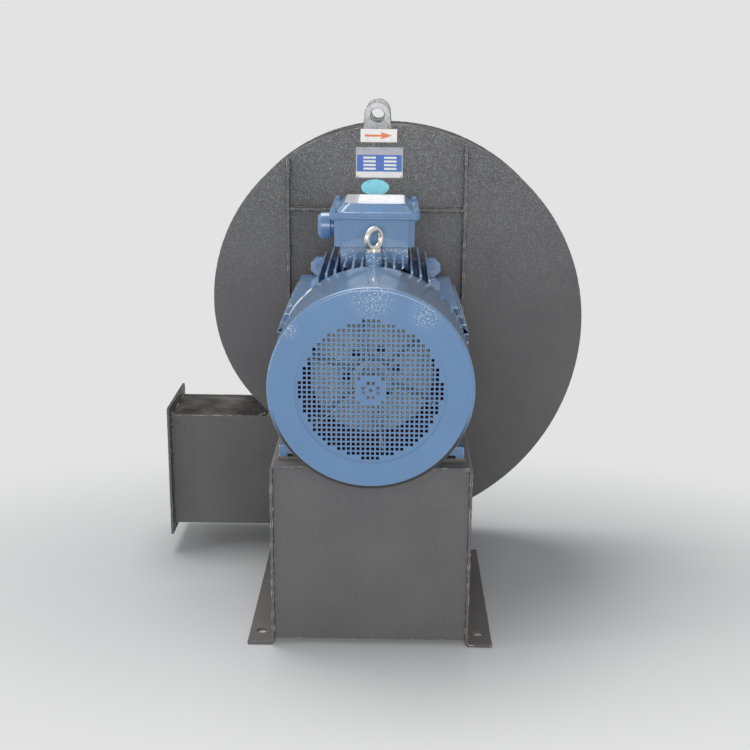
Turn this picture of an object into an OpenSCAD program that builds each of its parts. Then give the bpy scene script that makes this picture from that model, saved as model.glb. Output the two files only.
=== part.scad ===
// Industrial centrifugal blower: a volute casing on a bent-plate pedestal, its
// impeller carried on the shaft of a foot-mounted squirrel-cage motor.
// Millimetres, +Z up, +Y from the motor towards the inlet. The origin is on the
// floor, at the centre of the foundation bolts.

/* [Pedestal] */
// Width across the pedestal's side walls
pedestal_w = 347; // [338:1:360]
// Height of the pedestal's top above the floor
pedestal_h = 336; // [300:1:420]
// How far the pedestal reaches past the motor's feet, on the fan's side
pedestal_reach = 33; // [10:1:100]
// Plate thickness of the pedestal
pedestal_t = 5; // [4:0.5:7]
// Outer radius of the pedestal's bends
pedestal_bend_r = 9; // [8:1:12]
// Width over the two out-turned feet
foot_span = 434; // [424:1:470]
// Foundation bolt rows, side to side
foundation_x = 390; // [380:1:400]
// Foundation bolts, front to back
foundation_y = 330; // [260:1:360]
// Hole for a foundation bolt
foundation_hole_d = 18; // [14:1:22]
// How far the front plate sits back from the pedestal's edge
front_plate_inset = 6; // [2:1:20]
// Gap under the front plate
front_plate_gap = 11; // [5:1:40]
// Thickness of the packing strips under the motor's feet
packing_t = 6; // [5.5:0.5:12]

/* [Motor] */
// Height of the shaft above the motor's feet
shaft_height = 160; // [158:1:170]
// Motor bolt holes, side to side
motor_bolts_x = 254; // [250:1:262]
// Motor bolt holes, front to back
motor_bolts_y = 210; // [178:1:230]
// Shaft shoulder to the nearer bolt holes
shoulder_to_bolts = 108; // [90:1:120]
// Width over the motor's feet
motor_feet_span = 318; // [312:1:334]
// Width of one foot
motor_foot_w = 58; // [50:1:70]
// Thickness of the feet
motor_foot_t = 20; // [14:1:24]
// Hole for a motor bolt
motor_hole_d = 14.5; // [13:0.5:18]
// Diameter of the shaft end
shaft_d = 42; // [38:0.5:44]
// Length of the shaft end
shaft_l = 110; // [100:1:120]
// Gap from the shaft shoulder to the casing
shoulder_gap = 17; // [14:1:30]
// Width and height over the cooling fins
fin_span = 328; // [300:1:330]
// Diameter on which the fins end near the frame's corners
fin_d = 344; // [335:1:350]
// Diameter of the barrel between the fins
barrel_d = 276; // [270:1:290]
// Length of the cast motor frame
frame_l = 285; // [260:1:300]
// Distance between neighbouring fins
fin_pitch = 15; // [12:0.5:16]
// Thickness of a fin
fin_t = 4; // [3:0.5:6]
// Fins on each side of a centre line
fin_n = 7; // [4:1:7]

/* [Stator and rotor] */
// Outside diameter of the stator core
core_d = 260; // [255:1:264]
// Diameter of the stator's bore
core_bore_d = 150; // [140:1:160]
// Length of the stator core
core_l = 175; // [140:5:200]
// Slots in the stator
slot_n = 30; // [18:6:36]
// Air gap between stator and rotor
air_gap = 0.5; // [0.3:0.1:1]

/* [Bearings] */
// Outside diameter of the ball bearings
bearing_d = 100; // [96:1:104]
// Bore of the ball bearings
bearing_bore_d = 45; // [43:0.5:47]
// Width of the ball bearings
bearing_w = 25; // [23:1:27]
// Diameter of a ball
ball_d = 17.5; // [16:0.5:18]
// Balls in a bearing
ball_n = 8; // [6:1:9]
// Running clearance round each ball
ball_gap = 0.05; // [0.03:0.01:0.08]

/* [Fan cowl] */
// Outside diameter of the fan cowl
cowl_d = 330; // [324:1:331]
// Length of the fan cowl
cowl_l = 184; // [170:1:200]
// Sheet thickness of the cowl and grille
cowl_t = 1.6; // [1.2:0.2:2.4]
// Radius of the cowl's front edge
cowl_edge_r = 5; // [3:0.5:12]
// Opening in the cowl's front face
cowl_opening_d = 242; // [236:1:260]
// Distance between the grille's holes
grille_pitch = 7.75; // [7.5:0.05:8]
// Side of a square grille hole
grille_hole = 5.1; // [4:0.1:6]
// Rows of holes on each side of the centre
grille_n = 15; // [8:1:15]

/* [Cooling fan] */
// Diameter over the cooling fan's blades
fan_d = 240; // [200:5:260]
// Diameter of the fan's back disc
fan_disc_d = 204; // [150:2:220]
// Depth of the fan's blades
fan_depth = 56; // [30:1:66]
// Blades on the cooling fan
fan_blade_n = 6; // [5:1:8]

/* [Terminal box] */
// Width of the terminal box
tbox_w = 140; // [130:1:150]
// Length of the terminal box along the shaft
tbox_l = 168; // [150:1:180]
// Height of the terminal box
tbox_h = 53.5; // [45:0.5:60]
// Base of the terminal box above the shaft
tbox_rise = 186.5; // [180:0.5:205]
// Centre of the terminal box past the middle of the motor's frame
tbox_shift = 5.5; // [-5:0.5:15]
// Height of the domed cover above its rim
lid_rise = 13; // [8:1:22]
// Diameter of the cable gland's nut
gland_d = 48; // [42:1:50]
// Bore of the cable gland
gland_bore_d = 22; // [18:1:26]

/* [Casing] */
// Side of the square on which the four arc centres stand
scroll_step = 44; // [40:1:50]
// Smallest of the four arc radii, by the tongue
scroll_r = 301; // [296:1:308]
// Rise of the arc centres above the shaft
scroll_rise = 10; // [8:1:14]
// Width of the casing over its side plates
casing_w = 155; // [150:1:180]
// Plate thickness of the casing
casing_t = 4; // [3:0.5:6]
// How far the side plates stand proud of the wrapped plate
plate_lip = 3; // [1:0.5:6]
// Height of the outlet duct over its plates
outlet_h = 236; // [228:1:243]
// Distance of the outlet flange's face from the shaft
outlet_reach = 423; // [400:1:480]
// Fillet radius where the scroll meets the outlet
tongue_r = 8; // [5:1:14]
// Width of the outlet flange's lip
outlet_lip = 19; // [16:1:30]
// Thickness of the outlet flange
outlet_flange_t = 5; // [4:1:10]
// Hole in the outlet flange
outlet_hole_d = 8; // [6:1:10]

/* [Stiffeners and lugs] */
// Distance between the two upright stiffeners
stiffener_x = 343; // [338:1:360]
// Thickness of a stiffener
stiffener_t = 5; // [4:1:8]
// Depth of a stiffener
stiffener_depth = 18; // [12:1:24]
// Height of the cross bar above the shaft
cross_bar_rise = 215; // [208:1:258]
// Width of a lifting lug at its foot
lug_w = 58; // [54:1:70]
// Thickness of a lifting lug
lug_t = 8; // [6:1:12]
// Hole in a lifting lug
lug_hole_d = 27; // [20:1:30]
// Radius of a lifting lug's top
lug_r = 25; // [22:1:27]

/* [Impeller] */
// Outside diameter of the impeller
impeller_d = 500; // [480:5:505]
// Diameter of the impeller's eye
eye_d = 240; // [230:2:244]
// Impeller width at the eye
impeller_b1 = 98; // [94:1:100]
// Impeller width at the rim
impeller_b2 = 62; // [50:1:70]
// Blades on the impeller
blade_n = 16; // [10:1:20]
// Blade thickness
blade_t = 3; // [2:0.5:4]
// Thickness of the impeller's discs
disc_t = 4; // [3:0.5:5]
// Gap between the casing and the impeller's back disc
back_gap = 12; // [10:1:14]

/* [Inlet] */
// Bore of the inlet flange
inlet_d = 250; // [240:2:256]
// Outside diameter of the inlet flange
inlet_flange_d = 330; // [320:2:350]
// Bolt circle of the inlet flange
inlet_pcd = 300; // [294:2:306]
// Bolts in the inlet flange
inlet_bolt_n = 8; // [4:1:12]
// Hole in the inlet flange
inlet_hole_d = 11; // [8:1:12]
// Length of the inlet pipe
inlet_pipe_l = 40; // [30:1:80]
// Opening in the casing through which the impeller goes in
service_d = 512; // [508:1:520]
// Diameter of the cover over that opening
cover_d = 568; // [564:2:572]
// Bolts in the cover
cover_bolt_n = 12; // [8:1:16]

/* [Hidden] */
$fn = 96;

// One overrun for every cut, and the clearances of running and loose fits
over = 1;
run_gap = 0.05;

// Colours
casing_paint = "dimgray";
motor_paint = "steelblue";
primer = "maroon";
steel = "silver";
zinc = "lightgray";

// Hexagon fastener proportions, as shares of the thread diameter
head_af_share = 1.6;
head_h_share = 0.65;
washer_d_share = 2.1;
washer_t_share = 0.2;
nut_h_share = 0.85;

// Heights and places along the shaft, from the casing towards the fan
foot_overhang = 52;
foot_pad = 14;
foot_relief = 5;
pedestal_l = pedestal_reach + foot_overhang + motor_bolts_y + shoulder_to_bolts + shoulder_gap;
shaft_z = pedestal_h + packing_t + shaft_height;
casing_y = pedestal_l / 2;
shoulder_y = casing_y - shoulder_gap;
shield_gap = 3;
shield_depth = 38;
frame_y1 = shoulder_y - shield_gap - shield_depth;
frame_y0 = frame_y1 - frame_l;
motor_bolt_y1 = shoulder_y - shoulder_to_bolts;
motor_bolt_y0 = motor_bolt_y1 - motor_bolts_y;
motor_bolt_mid = (motor_bolt_y0 + motor_bolt_y1) / 2;

// Motor feet
foot_rail_l = motor_bolts_y + 2 * foot_overhang;
gusset_t = 12;
gusset_gap = 20;
gusset_top_share = 0.3;
gusset_reach_share = 0.985;
fin_foot_gap = 10;
fin_first = 5;
motor_bolt_d = 12;

// End shields and their ears
spigot_l = 8;
spigot_t = 10;
rim_d = 300;
rim_t = 12;
rim_land = 24;
bearing_cap_t = 6;
bearing_wall = 13;
ear_size = 34;
ear_t = 16;
drive_ear_x = 107;
drive_ear_z = 115;
drive_bolt_sink = 2;
shield_bolt_d = 10;
seal_d = 62;

// Stator, rotor and shaft
core_y = frame_y0 + (frame_l - core_l) / 2;
slot_w = 7;
slot_depth = 22;
coil_l = 34;
coil_d_out = 232;
coil_gap = 4;
rotor_d = core_bore_d - 2 * air_gap;
rotor_bore_d = 58;
end_ring_l = 16;
end_ring_bore_d = 92;
vane_n = 10;
vane_t = 5;
vane_l = 14;
bearing_y1 = shoulder_y - shield_gap - bearing_cap_t - bearing_w;
bearing_y0 = frame_y0 - shield_depth + bearing_cap_t;
race_wall = 8;
cage_w = 21;
cage_t = 4.5;
cage_gap = 0.2;
fan_seat_d = 38;
shaft_body_d = 52;
fan_hub_d = 64;
fan_hub_l = 48;
fan_hub_gap = 36;
fan_blade_t = 3;
fan_blade_turn = 40;
fan_vent_d = 15;
fan_vent_r = 42;
circlip_t = 2;
circlip_d = 46;
circlip_groove = 1;
tail_l = 6;
key_w = 12;
key_h = 8;
key_sink = 5;
key_l = 90;
key_inset = 10;

// Hub and the bolt that holds it on the shaft
hub_d = 66;
hub_cover = 1;
hub_flange_d = 150;
hub_flange_t = 12;
rivet_n = 8;
rivet_pcd = 122;
rivet_d = 9;
rivet_head_d = 15;
rivet_head_h = 4;
hub_washer_d = 60;
hub_washer_t = 6;
hub_bolt_d = 16;
hub_bolt_l = 34;
blade_arc_r = 90;
blade_arc_centre_r = 204;
blade_inner_r = 124;
shroud_t = 3;
shroud_collar_l = 9;
disc_y = casing_y + casing_t + back_gap;
impeller_y = disc_y + disc_t;

// Fan cowl details
cowl_gap = 1;
cowl_y1 = frame_y0 - cowl_gap;
cowl_y0 = cowl_y1 - cowl_l;
grille_seat = 5;
grille_reach_share = 0.998;
hole_gap_share = 2.5;
dimple_d = 24;
dimple_sink = 2;
dimple_inset = 12;
cowl_screw_d = 6;
cowl_screw_l = 12;
fan_ear_t = 2 * (dimple_inset + cowl_gap);
fan_ear_r = cowl_d / 2 - dimple_sink - cowl_t - ear_size / 2;

// Terminal box details
tbox_y = (frame_y0 + frame_y1) / 2 + tbox_shift;
tbox_z = shaft_z + tbox_rise;
tbox_wall = 5;
tbox_chamfer = 11;
gasket_t = 1.5;
rim_reach = 8;
rim_chamfer = 5;
tbox_rim_t = 4;
lid_rim_t = 6;
lid_wall = 4;
lid_base_w = 132;
lid_base_l = 160;
lid_top_w = 108;
lid_top_l = 136;
lid_corner = 13;
lid_boss_d = 14;
lid_boss_h = 2.5;
screw_inset = 7.5;
cover_screw_d = 6;
cover_screw_tail = 3;
neck_w = 118;
neck_l = 130;
neck_wall = 8;
block_w = 84;
block_l = 56;
block_h = 16;
stud_d = 6;
stud_h = 15;
stud_x = 28;
stud_y = 28;
gland_l = 23;
gland_neck_d = 36;
gland_neck_l = 9;
gland_y = tbox_y;
gland_drop = 1;

// Eye bolt
eye_inset = 23;
eye_boss_rise = 186.5;
eye_y = frame_y0 + eye_inset;
eye_ring_d = 43;
eye_ring_gap = 0.5;
eye_wire_d = 9.5;
eye_turn = 46;
eye_collar_d = 25;
eye_collar_h = 6;
eye_boss_d = 28;
eye_boss_z = shaft_z + eye_boss_rise;
eye_thread_d = 12;
eye_thread_l = 20;

// Shaft opening in the casing
seal_plate_d = 130;
seal_plate_t = 4;
shaft_hole_d = 96;
hub_run_gap = 2;
seal_screw_n = 6;
seal_screw_d = 6;
seal_screw_pcd = 114;

// Inlet side
inlet_y = casing_y + casing_w;
cover_t = 5;
cover_bolt_d = 8;
cover_pcd = (service_d + cover_d) / 2;
pipe_t = 3;
inlet_flange_t = 6;
cone_t = 2.5;
cone_lip = 18;
throat_gap = 3.5;
throat_overlap = 6;

// Lugs: how far the hole stands above the plate, and the foot below the edge
lug_rise = 20;
lug_sink = 28;
stiffener_edge_gap = 4;
outlet_hole_inset = 9;

// A tube that stands on the XY plane
module tube(d_out, d_in, h) {
    difference() {
        cylinder(d = d_out, h = h);
        translate([0, 0, -over]) cylinder(d = d_in, h = h + 2 * over);
    }
}

// Lays local Z along +Y from y, on the shaft's axis
module on_axis(y) {
    translate([0, y, shaft_z]) rotate([-90, 0, 0]) children();
}

// Lays local Z along -Y from y, on the shaft's axis
module fanwards(y) {
    translate([0, y, shaft_z]) rotate([90, 0, 0]) children();
}

// Extrudes an upright drawing, in X and Z about the shaft's axis, from y to y + t
module upright(y, t) {
    translate([0, y + t, shaft_z]) rotate([90, 0, 0]) linear_extrude(t) children();
}

// Places its children n times round local Z at radius r, from angle a0
module ring_of(n, r, a0 = 0) {
    for (i = [0 : n - 1]) rotate(a0 + i * 360 / n) translate([r, 0, 0]) children();
}

// Hexagon bolt: its head stands on the XY plane, its shank hangs down
module hex_bolt(d, shank) {
    cylinder(d = washer_d_share * d, h = washer_t_share * d);
    translate([0, 0, washer_t_share * d])
        cylinder(d = head_af_share * d / cos(30), h = head_h_share * d, $fn = 6);
    translate([0, 0, -shank]) cylinder(d = d, h = shank + washer_t_share * d);
}

// Hexagon nut that hangs below the XY plane, on its washer
module hex_nut(d) {
    translate([0, 0, -washer_t_share * d]) tube(washer_d_share * d, d, washer_t_share * d);
    translate([0, 0, -(washer_t_share + nut_h_share) * d]) difference() {
        cylinder(d = head_af_share * d / cos(30), h = nut_h_share * d, $fn = 6);
        translate([0, 0, -over]) cylinder(d = d, h = nut_h_share * d + 2 * over);
    }
}

// Rectangle centred on the origin, with its corners cut at 45 degrees
module chamfered(x, y, c) {
    polygon([[-x / 2 + c, -y / 2], [x / 2 - c, -y / 2], [x / 2, -y / 2 + c], [x / 2, y / 2 - c],
        [x / 2 - c, y / 2], [-x / 2 + c, y / 2], [-x / 2, y / 2 - c], [-x / 2, -y / 2 + c]]);
}

// Four-sided frustum on the XY plane
module frustum(x0, y0, x1, y1, h) {
    intersection() {
        rotate([90, 0, 0]) linear_extrude(y0, center = true)
            polygon([[-x0 / 2, 0], [x0 / 2, 0], [x1 / 2, h], [-x1 / 2, h]]);
        rotate([90, 0, 90]) linear_extrude(x0, center = true)
            polygon([[-y0 / 2, 0], [y0 / 2, 0], [y1 / 2, h], [-y1 / 2, h]]);
    }
}

// The pedestal's bent section: an inverted U with out-turned feet
module hat_section() {
    half = pedestal_w / 2;
    bend_in = pedestal_bend_r - pedestal_t;
    module arch(w, h, r) {
        translate([-w / 2, 0]) square([w, h - r]);
        translate([-w / 2 + r, 0]) square([w - 2 * r, h]);
        for (s = [-1, 1]) translate([s * (w / 2 - r), h - r]) circle(r);
    }
    difference() {
        union() {
            arch(pedestal_w, pedestal_h, pedestal_bend_r);
            translate([-foot_span / 2, 0]) square([foot_span, pedestal_t]);
            translate([-half - bend_in, 0])
                square([pedestal_w + 2 * bend_in, pedestal_t + bend_in]);
        }
        translate([0, -over])
            arch(pedestal_w - 2 * pedestal_t, pedestal_h - pedestal_t + over, bend_in);
        for (s = [-1, 1])
            translate([s * (half + bend_in), pedestal_t + bend_in]) circle(bend_in);
        // The inner corner of each foot bend
        for (s = [-1, 1]) difference() {
            translate([s * (half - pedestal_t + pedestal_bend_r / 2), 0])
                square(pedestal_bend_r, center = true);
            translate([s * (half - pedestal_t + pedestal_bend_r), pedestal_bend_r])
                circle(pedestal_bend_r);
            translate([s * (half - pedestal_t + pedestal_bend_r), 0])
                square([pedestal_bend_r, pedestal_bend_r * 2], center = true);
        }
    }
}

// The pedestal's motor bolt holes and the bolts in them share these places
module at_motor_bolts(z) {
    for (x = [-1, 1], y = [motor_bolt_y0, motor_bolt_y1])
        translate([x * motor_bolts_x / 2, y, z]) children();
}

module pedestal_frame() {
    color(casing_paint) difference() {
        translate([0, pedestal_l / 2, 0]) rotate([90, 0, 0])
            linear_extrude(pedestal_l) hat_section();
        for (x = [-1, 1], y = [-1, 1])
            translate([x * foundation_x / 2, y * foundation_y / 2, -over])
                cylinder(d = foundation_hole_d, h = pedestal_t + 2 * over);
        at_motor_bolts(pedestal_h - pedestal_t - over)
            cylinder(d = motor_hole_d, h = pedestal_t + 2 * over);
    }
}

module pedestal_front_plate() {
    w = pedestal_w - 2 * pedestal_t;
    h = pedestal_h - pedestal_t - front_plate_gap;
    r = pedestal_bend_r - pedestal_t;
    color(casing_paint)
        translate([0, front_plate_inset + pedestal_t - pedestal_l / 2, front_plate_gap])
            rotate([90, 0, 0]) linear_extrude(pedestal_t) {
                translate([-w / 2, 0]) square([w, h - r]);
                translate([-w / 2 + r, 0]) square([w - 2 * r, h]);
                for (s = [-1, 1]) translate([s * (w / 2 - r), h - r]) circle(r);
            }
}

// A strip of packing plate under each row of motor feet
module packing_strips() {
    margin = 3;
    color(casing_paint) difference() {
        for (s = [-1, 1])
            translate([s * (motor_feet_span - motor_foot_w) / 2, motor_bolt_mid,
                pedestal_h + packing_t / 2])
                cube([motor_foot_w + 2 * margin, foot_rail_l + 2 * margin, packing_t], center = true);
        at_motor_bolts(pedestal_h - over) cylinder(d = motor_hole_d, h = packing_t + 2 * over);
    }
}

// Bottom and top of the outlet duct, below the shaft
function duct_bottom() = scroll_rise - scroll_step / 2 - scroll_r - 3 * scroll_step;
function duct_top() = duct_bottom() + outlet_h;

// The volute: four arcs whose centres stand on a square, and the outlet duct.
// inset draws the same shape smaller all round.
module volute(inset = 0) {
    s = scroll_step / 2;
    top = duct_top() - inset;
    bottom = duct_bottom() + inset;
    reach = 2 * outlet_reach;
    centres = [[-s, s], [s, s], [s, -s], [-s, -s]];
    corners = [[-1, -1], [-1, 1], [1, 1], [1, -1]];
    fillet_z = top + tongue_r + inset;
    fillet_x = -s - sqrt(pow(scroll_r + tongue_r, 2) - pow(fillet_z - scroll_rise - s, 2));
    toward = [-s - fillet_x, scroll_rise + s - fillet_z] / (scroll_r + tongue_r);
    keep_x = tongue_r - s - sqrt(pow(scroll_r - inset, 2) - pow(top - scroll_rise - s, 2));
    for (i = [0 : 3]) {
        r = scroll_r + i * scroll_step - inset;
        c = centres[i] + [0, scroll_rise];
        translate(c) intersection() {
            circle(r);
            translate([corners[i][0] < 0 ? -reach : 0, corners[i][1] < 0 ? -reach : 0])
                square(reach);
        }
    }
    translate([-s, scroll_rise - s]) square(scroll_step);
    translate([-outlet_reach + outlet_flange_t, bottom])
        square([outlet_reach - outlet_flange_t - s, top - bottom]);
    // The fillet between the outlet's upper plate and the scroll
    difference() {
        polygon([[fillet_x, top - over], [fillet_x, fillet_z], [fillet_x, fillet_z]
            + toward * (tongue_r + inset), [keep_x, fillet_z], [keep_x, top - over]]);
        translate([fillet_x, fillet_z]) circle(tongue_r + inset);
    }
}

module casing_motor_plate() {
    color(casing_paint) difference() {
        upright(casing_y, casing_t) volute();
        on_axis(casing_y - over) {
            cylinder(d = shaft_hole_d, h = casing_t + 2 * over);
            ring_of(seal_screw_n, seal_screw_pcd / 2)
                cylinder(d = seal_screw_d, h = casing_t + 2 * over);
        }
    }
}

module casing_inlet_plate() {
    color(casing_paint) difference() {
        upright(inlet_y - casing_t, casing_t) volute();
        on_axis(inlet_y - casing_t - over) {
            cylinder(d = service_d, h = casing_t + 2 * over);
            ring_of(cover_bolt_n, cover_pcd / 2)
                cylinder(d = cover_bolt_d, h = casing_t + 2 * over);
        }
    }
}

// The wrapped plate between the side plates, open at the outlet
module scroll_wrap() {
    plates = plate_lip + casing_t;
    color(casing_paint) upright(casing_y + casing_t, casing_w - 2 * casing_t) difference() {
        volute(plate_lip);
        volute(plate_lip + casing_t);
        translate([-outlet_reach - over, duct_bottom() + plates])
            square([outlet_flange_t + casing_t + 2 * over + tongue_r, outlet_h - 2 * plates]);
    }
}

module outlet_flange() {
    bore_in = plate_lip + casing_t;
    mid_z = shaft_z + duct_bottom() + outlet_h / 2;
    hole_y = casing_w / 2 + outlet_hole_inset;
    hole_z = outlet_h / 2 + outlet_hole_inset;
    color(casing_paint)
        translate([-outlet_reach, casing_y + casing_w / 2, mid_z]) rotate([90, 0, 90]) difference() {
            linear_extrude(outlet_flange_t) difference() {
                square([casing_w + 2 * outlet_lip, outlet_h + 2 * outlet_lip], center = true);
                square([casing_w - 2 * casing_t, outlet_h - 2 * bore_in], center = true);
            }
            for (y = [-1, 1], z = [-1, -1 / 3, 1 / 3, 1])
                translate([y * hole_y, z * hole_z, -over])
                    cylinder(d = outlet_hole_d, h = outlet_flange_t + 2 * over);
            for (z = [-1, 1]) translate([0, z * hole_z, -over])
                cylinder(d = outlet_hole_d, h = outlet_flange_t + 2 * over);
        }
}

// An upright bar stands on the casing plate and ends just under its edge
module upright_bar(side, top) {
    translate([side * stiffener_x / 2 - stiffener_t / 2, casing_y - stiffener_depth, pedestal_h])
        cube([stiffener_t, stiffener_depth, top - stiffener_edge_gap - pedestal_h]);
}

// Height of the volute's edge over x, from the two upper arcs
function edge_z(x) = let (s = scroll_step / 2)
    x < s ? shaft_z + scroll_rise + s + sqrt(pow(scroll_r + scroll_step, 2) - pow(x - s, 2))
          : shaft_z + scroll_rise - s + sqrt(pow(scroll_r + 2 * scroll_step, 2) - pow(x - s, 2));

module stiffener_left() {
    color(casing_paint) upright_bar(-1, edge_z(-stiffener_x / 2));
}

module stiffener_right() {
    color(casing_paint) upright_bar(1, edge_z(stiffener_x / 2));
}

module stiffener_cross() {
    span = stiffener_x - stiffener_t;
    color(casing_paint) translate([-span / 2, casing_y - stiffener_depth,
        shaft_z + cross_bar_rise])
        cube([span, stiffener_depth, stiffener_t]);
}

// Lug: a plate that narrows to a round top, tangent to its sides
module lug(y) {
    hole_z = edge_z(0) + lug_rise;
    drop = lug_rise + lug_sink;
    a = atan2(-drop, lug_w / 2) + acos(lug_r / norm([lug_w / 2, drop]));
    translate([0, y + lug_t, hole_z]) rotate([90, 0, 0]) linear_extrude(lug_t) difference() {
        union() {
            circle(lug_r);
            polygon([[-lug_w / 2, -drop], [lug_w / 2, -drop], [lug_r * cos(a), lug_r * sin(a)],
                [-lug_r * cos(a), lug_r * sin(a)]]);
        }
        circle(d = lug_hole_d);
    }
}

module lifting_lug_front() {
    color(casing_paint) lug(casing_y - lug_t);
}

module lifting_lug_rear() {
    color(casing_paint) lug(inlet_y);
}

// Flat ring that closes the casing round the hub
module shaft_seal_plate() {
    color(casing_paint) on_axis(casing_y - seal_plate_t) difference() {
        tube(seal_plate_d, hub_d + 2 * hub_run_gap, seal_plate_t);
        translate([0, 0, -over]) ring_of(seal_screw_n, seal_screw_pcd / 2)
            cylinder(d = seal_screw_d, h = seal_plate_t + 2 * over);
    }
}

module seal_plate_screws() {
    color(zinc) fanwards(casing_y - seal_plate_t) ring_of(seal_screw_n, seal_screw_pcd / 2)
        hex_bolt(seal_screw_d, seal_plate_t + casing_t);
}

module inlet_cover() {
    color(casing_paint) on_axis(inlet_y) difference() {
        tube(cover_d, inlet_d, cover_t);
        translate([0, 0, -over]) ring_of(cover_bolt_n, cover_pcd / 2)
            cylinder(d = cover_bolt_d, h = cover_t + 2 * over);
    }
}

module inlet_cover_bolts() {
    color(zinc) on_axis(inlet_y + cover_t) ring_of(cover_bolt_n, cover_pcd / 2)
        hex_bolt(cover_bolt_d, cover_t + casing_t);
}

// Bell that leads the air from the cover into the impeller's eye
module inlet_cone() {
    throat_r = eye_d / 2 - throat_gap - cone_t;
    mouth_r = inlet_d / 2;
    depth = inlet_y - impeller_y - impeller_b1 - shroud_collar_l + throat_overlap;
    color(casing_paint) fanwards(inlet_y) rotate_extrude() polygon([
        [mouth_r, 0], [mouth_r + cone_lip, 0], [mouth_r + cone_lip, cone_t],
        [mouth_r + cone_t, cone_t], [throat_r + cone_t, depth * 2 / 3], [throat_r + cone_t, depth],
        [throat_r, depth], [throat_r, depth * 2 / 3]]);
}

module inlet_pipe() {
    color(casing_paint) on_axis(inlet_y + cover_t)
        tube(inlet_d + 2 * pipe_t, inlet_d, inlet_pipe_l);
}

module inlet_flange() {
    color(casing_paint) on_axis(inlet_y + cover_t + inlet_pipe_l - inlet_flange_t) difference() {
        tube(inlet_flange_d, inlet_d + 2 * pipe_t, inlet_flange_t);
        translate([0, 0, -over]) ring_of(inlet_bolt_n, inlet_pcd / 2, 180 / inlet_bolt_n)
            cylinder(d = inlet_hole_d, h = inlet_flange_t + 2 * over);
    }
}

// Barrel with upright fins above and below, and level fins on both sides
module fin_section() {
    half = fin_span / 2;
    intersection() {
        circle(d = fin_d);
        translate([-half, fin_foot_gap - shaft_height])
            square([fin_span, half + shaft_height - fin_foot_gap]);
        union() {
            for (i = [0 : fin_n - 1], s = [-1, 1]) {
                c = s * (fin_first + i * fin_pitch) - fin_t / 2;
                translate([c, -half]) square([fin_t, fin_span]);
                translate([-half, c]) square([fin_span, fin_t]);
            }
            circle(d = barrel_d);
        }
    }
}

// Octagonal ear, which a shield bolt passes through
module ear(t) {
    rotate(22.5) cylinder(d = ear_size / cos(22.5), h = t, $fn = 8);
}

// Places of the four ears at the drive end, and at the fan end
module at_drive_ears() {
    for (x = [-1, 1], z = [-1, 1]) translate([x * drive_ear_x, z * drive_ear_z, 0]) children();
}

module at_fan_ears() {
    ring_of(4, fan_ear_r, 45) children();
}

// One foot, centred, with a relief between its two bearing pads
module foot_rail() {
    difference() {
        cube([motor_foot_w, foot_rail_l, motor_foot_t], center = true);
        translate([0, 0, foot_relief / 2 - motor_foot_t / 2 - over / 2])
            cube([motor_foot_w - 2 * foot_pad, foot_rail_l + 2 * over, foot_relief + over],
                center = true);
    }
}

module motor_feet() {
    rail_x = (motor_feet_span - motor_foot_w) / 2;
    foot_z = pedestal_h + packing_t;
    reach = barrel_d / 2 * gusset_reach_share;
    for (s = [-1, 1]) {
        translate([s * rail_x, motor_bolt_mid, foot_z + motor_foot_t / 2])
            foot_rail();
        // Gussets carry the load of each foot up to the barrel
        for (y = [motor_bolt_y0 + gusset_gap, motor_bolt_y1 - gusset_gap - gusset_t,
                motor_bolt_y1 + gusset_gap])
            upright(y, gusset_t) polygon([
                [s * (rail_x - motor_foot_w / 2), motor_foot_t - shaft_height],
                [s * (rail_x + motor_foot_w / 2), motor_foot_t - shaft_height],
                [s * reach, -reach * gusset_top_share], [s * reach / 2, -reach * gusset_top_share],
                [s * (rail_x - motor_foot_w / 2), -reach / 2]]);
    }
}

module motor_frame() {
    bore_h = frame_l + 2 * over;
    color(motor_paint) difference() {
        union() {
            upright(frame_y0, frame_l) fin_section();
            on_axis(frame_y1 - ear_t) at_drive_ears() ear(ear_t);
            on_axis(frame_y0) at_fan_ears() ear(ear_t);
            on_axis(frame_y1 - rim_t) cylinder(d = rim_d, h = rim_t);
            on_axis(frame_y0) cylinder(d = rim_d, h = rim_t);
            motor_feet();
            translate([-neck_w / 2, tbox_y - neck_l / 2, shaft_z])
                cube([neck_w, neck_l, tbox_rise]);
            translate([0, eye_y, shaft_z]) cylinder(d = eye_boss_d, h = eye_boss_z - shaft_z);
        }
        on_axis(frame_y0 - over) cylinder(d = core_d, h = bore_h);
        on_axis(frame_y1 - ear_t - over) at_drive_ears()
            cylinder(d = shield_bolt_d, h = ear_t + 2 * over);
        on_axis(frame_y0 - over) at_fan_ears()
            cylinder(d = shield_bolt_d, h = ear_t + 2 * over);
        at_motor_bolts(pedestal_h + packing_t - over)
            cylinder(d = motor_hole_d, h = motor_foot_t + 2 * over);
        translate([0, eye_y, eye_boss_z - eye_thread_l])
            cylinder(d = eye_thread_d, h = eye_thread_l + over);
        // The leads rise through the neck
        translate([neck_wall - neck_w / 2, tbox_y - neck_l / 2 + neck_wall, shaft_z])
            cube([neck_w - 2 * neck_wall, neck_l - 2 * neck_wall, tbox_rise + over]);
    }
}

// End shield with its spigot in the frame and the bearing's seat in its hub
module shield_body() {
    seat_r = bearing_d / 2;
    hub_r = seat_r + bearing_wall;
    spigot_r = core_d / 2;
    seat_z = shield_depth - bearing_cap_t;
    rotate_extrude() polygon([
        [spigot_r - spigot_t, -spigot_l], [spigot_r, -spigot_l], [spigot_r, 0],
        [rim_d / 2, 0], [rim_d / 2, rim_t], [rim_d / 2 - rim_land, rim_t],
        [hub_r, shield_depth],
        [seal_d / 2, shield_depth], [seal_d / 2, seat_z], [seat_r, seat_z],
        [seat_r, seat_z - bearing_w], [hub_r, seat_z - bearing_w],
        [hub_r, seat_z - spigot_t], [spigot_r - spigot_t, rim_t / 2]]);
}

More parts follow.
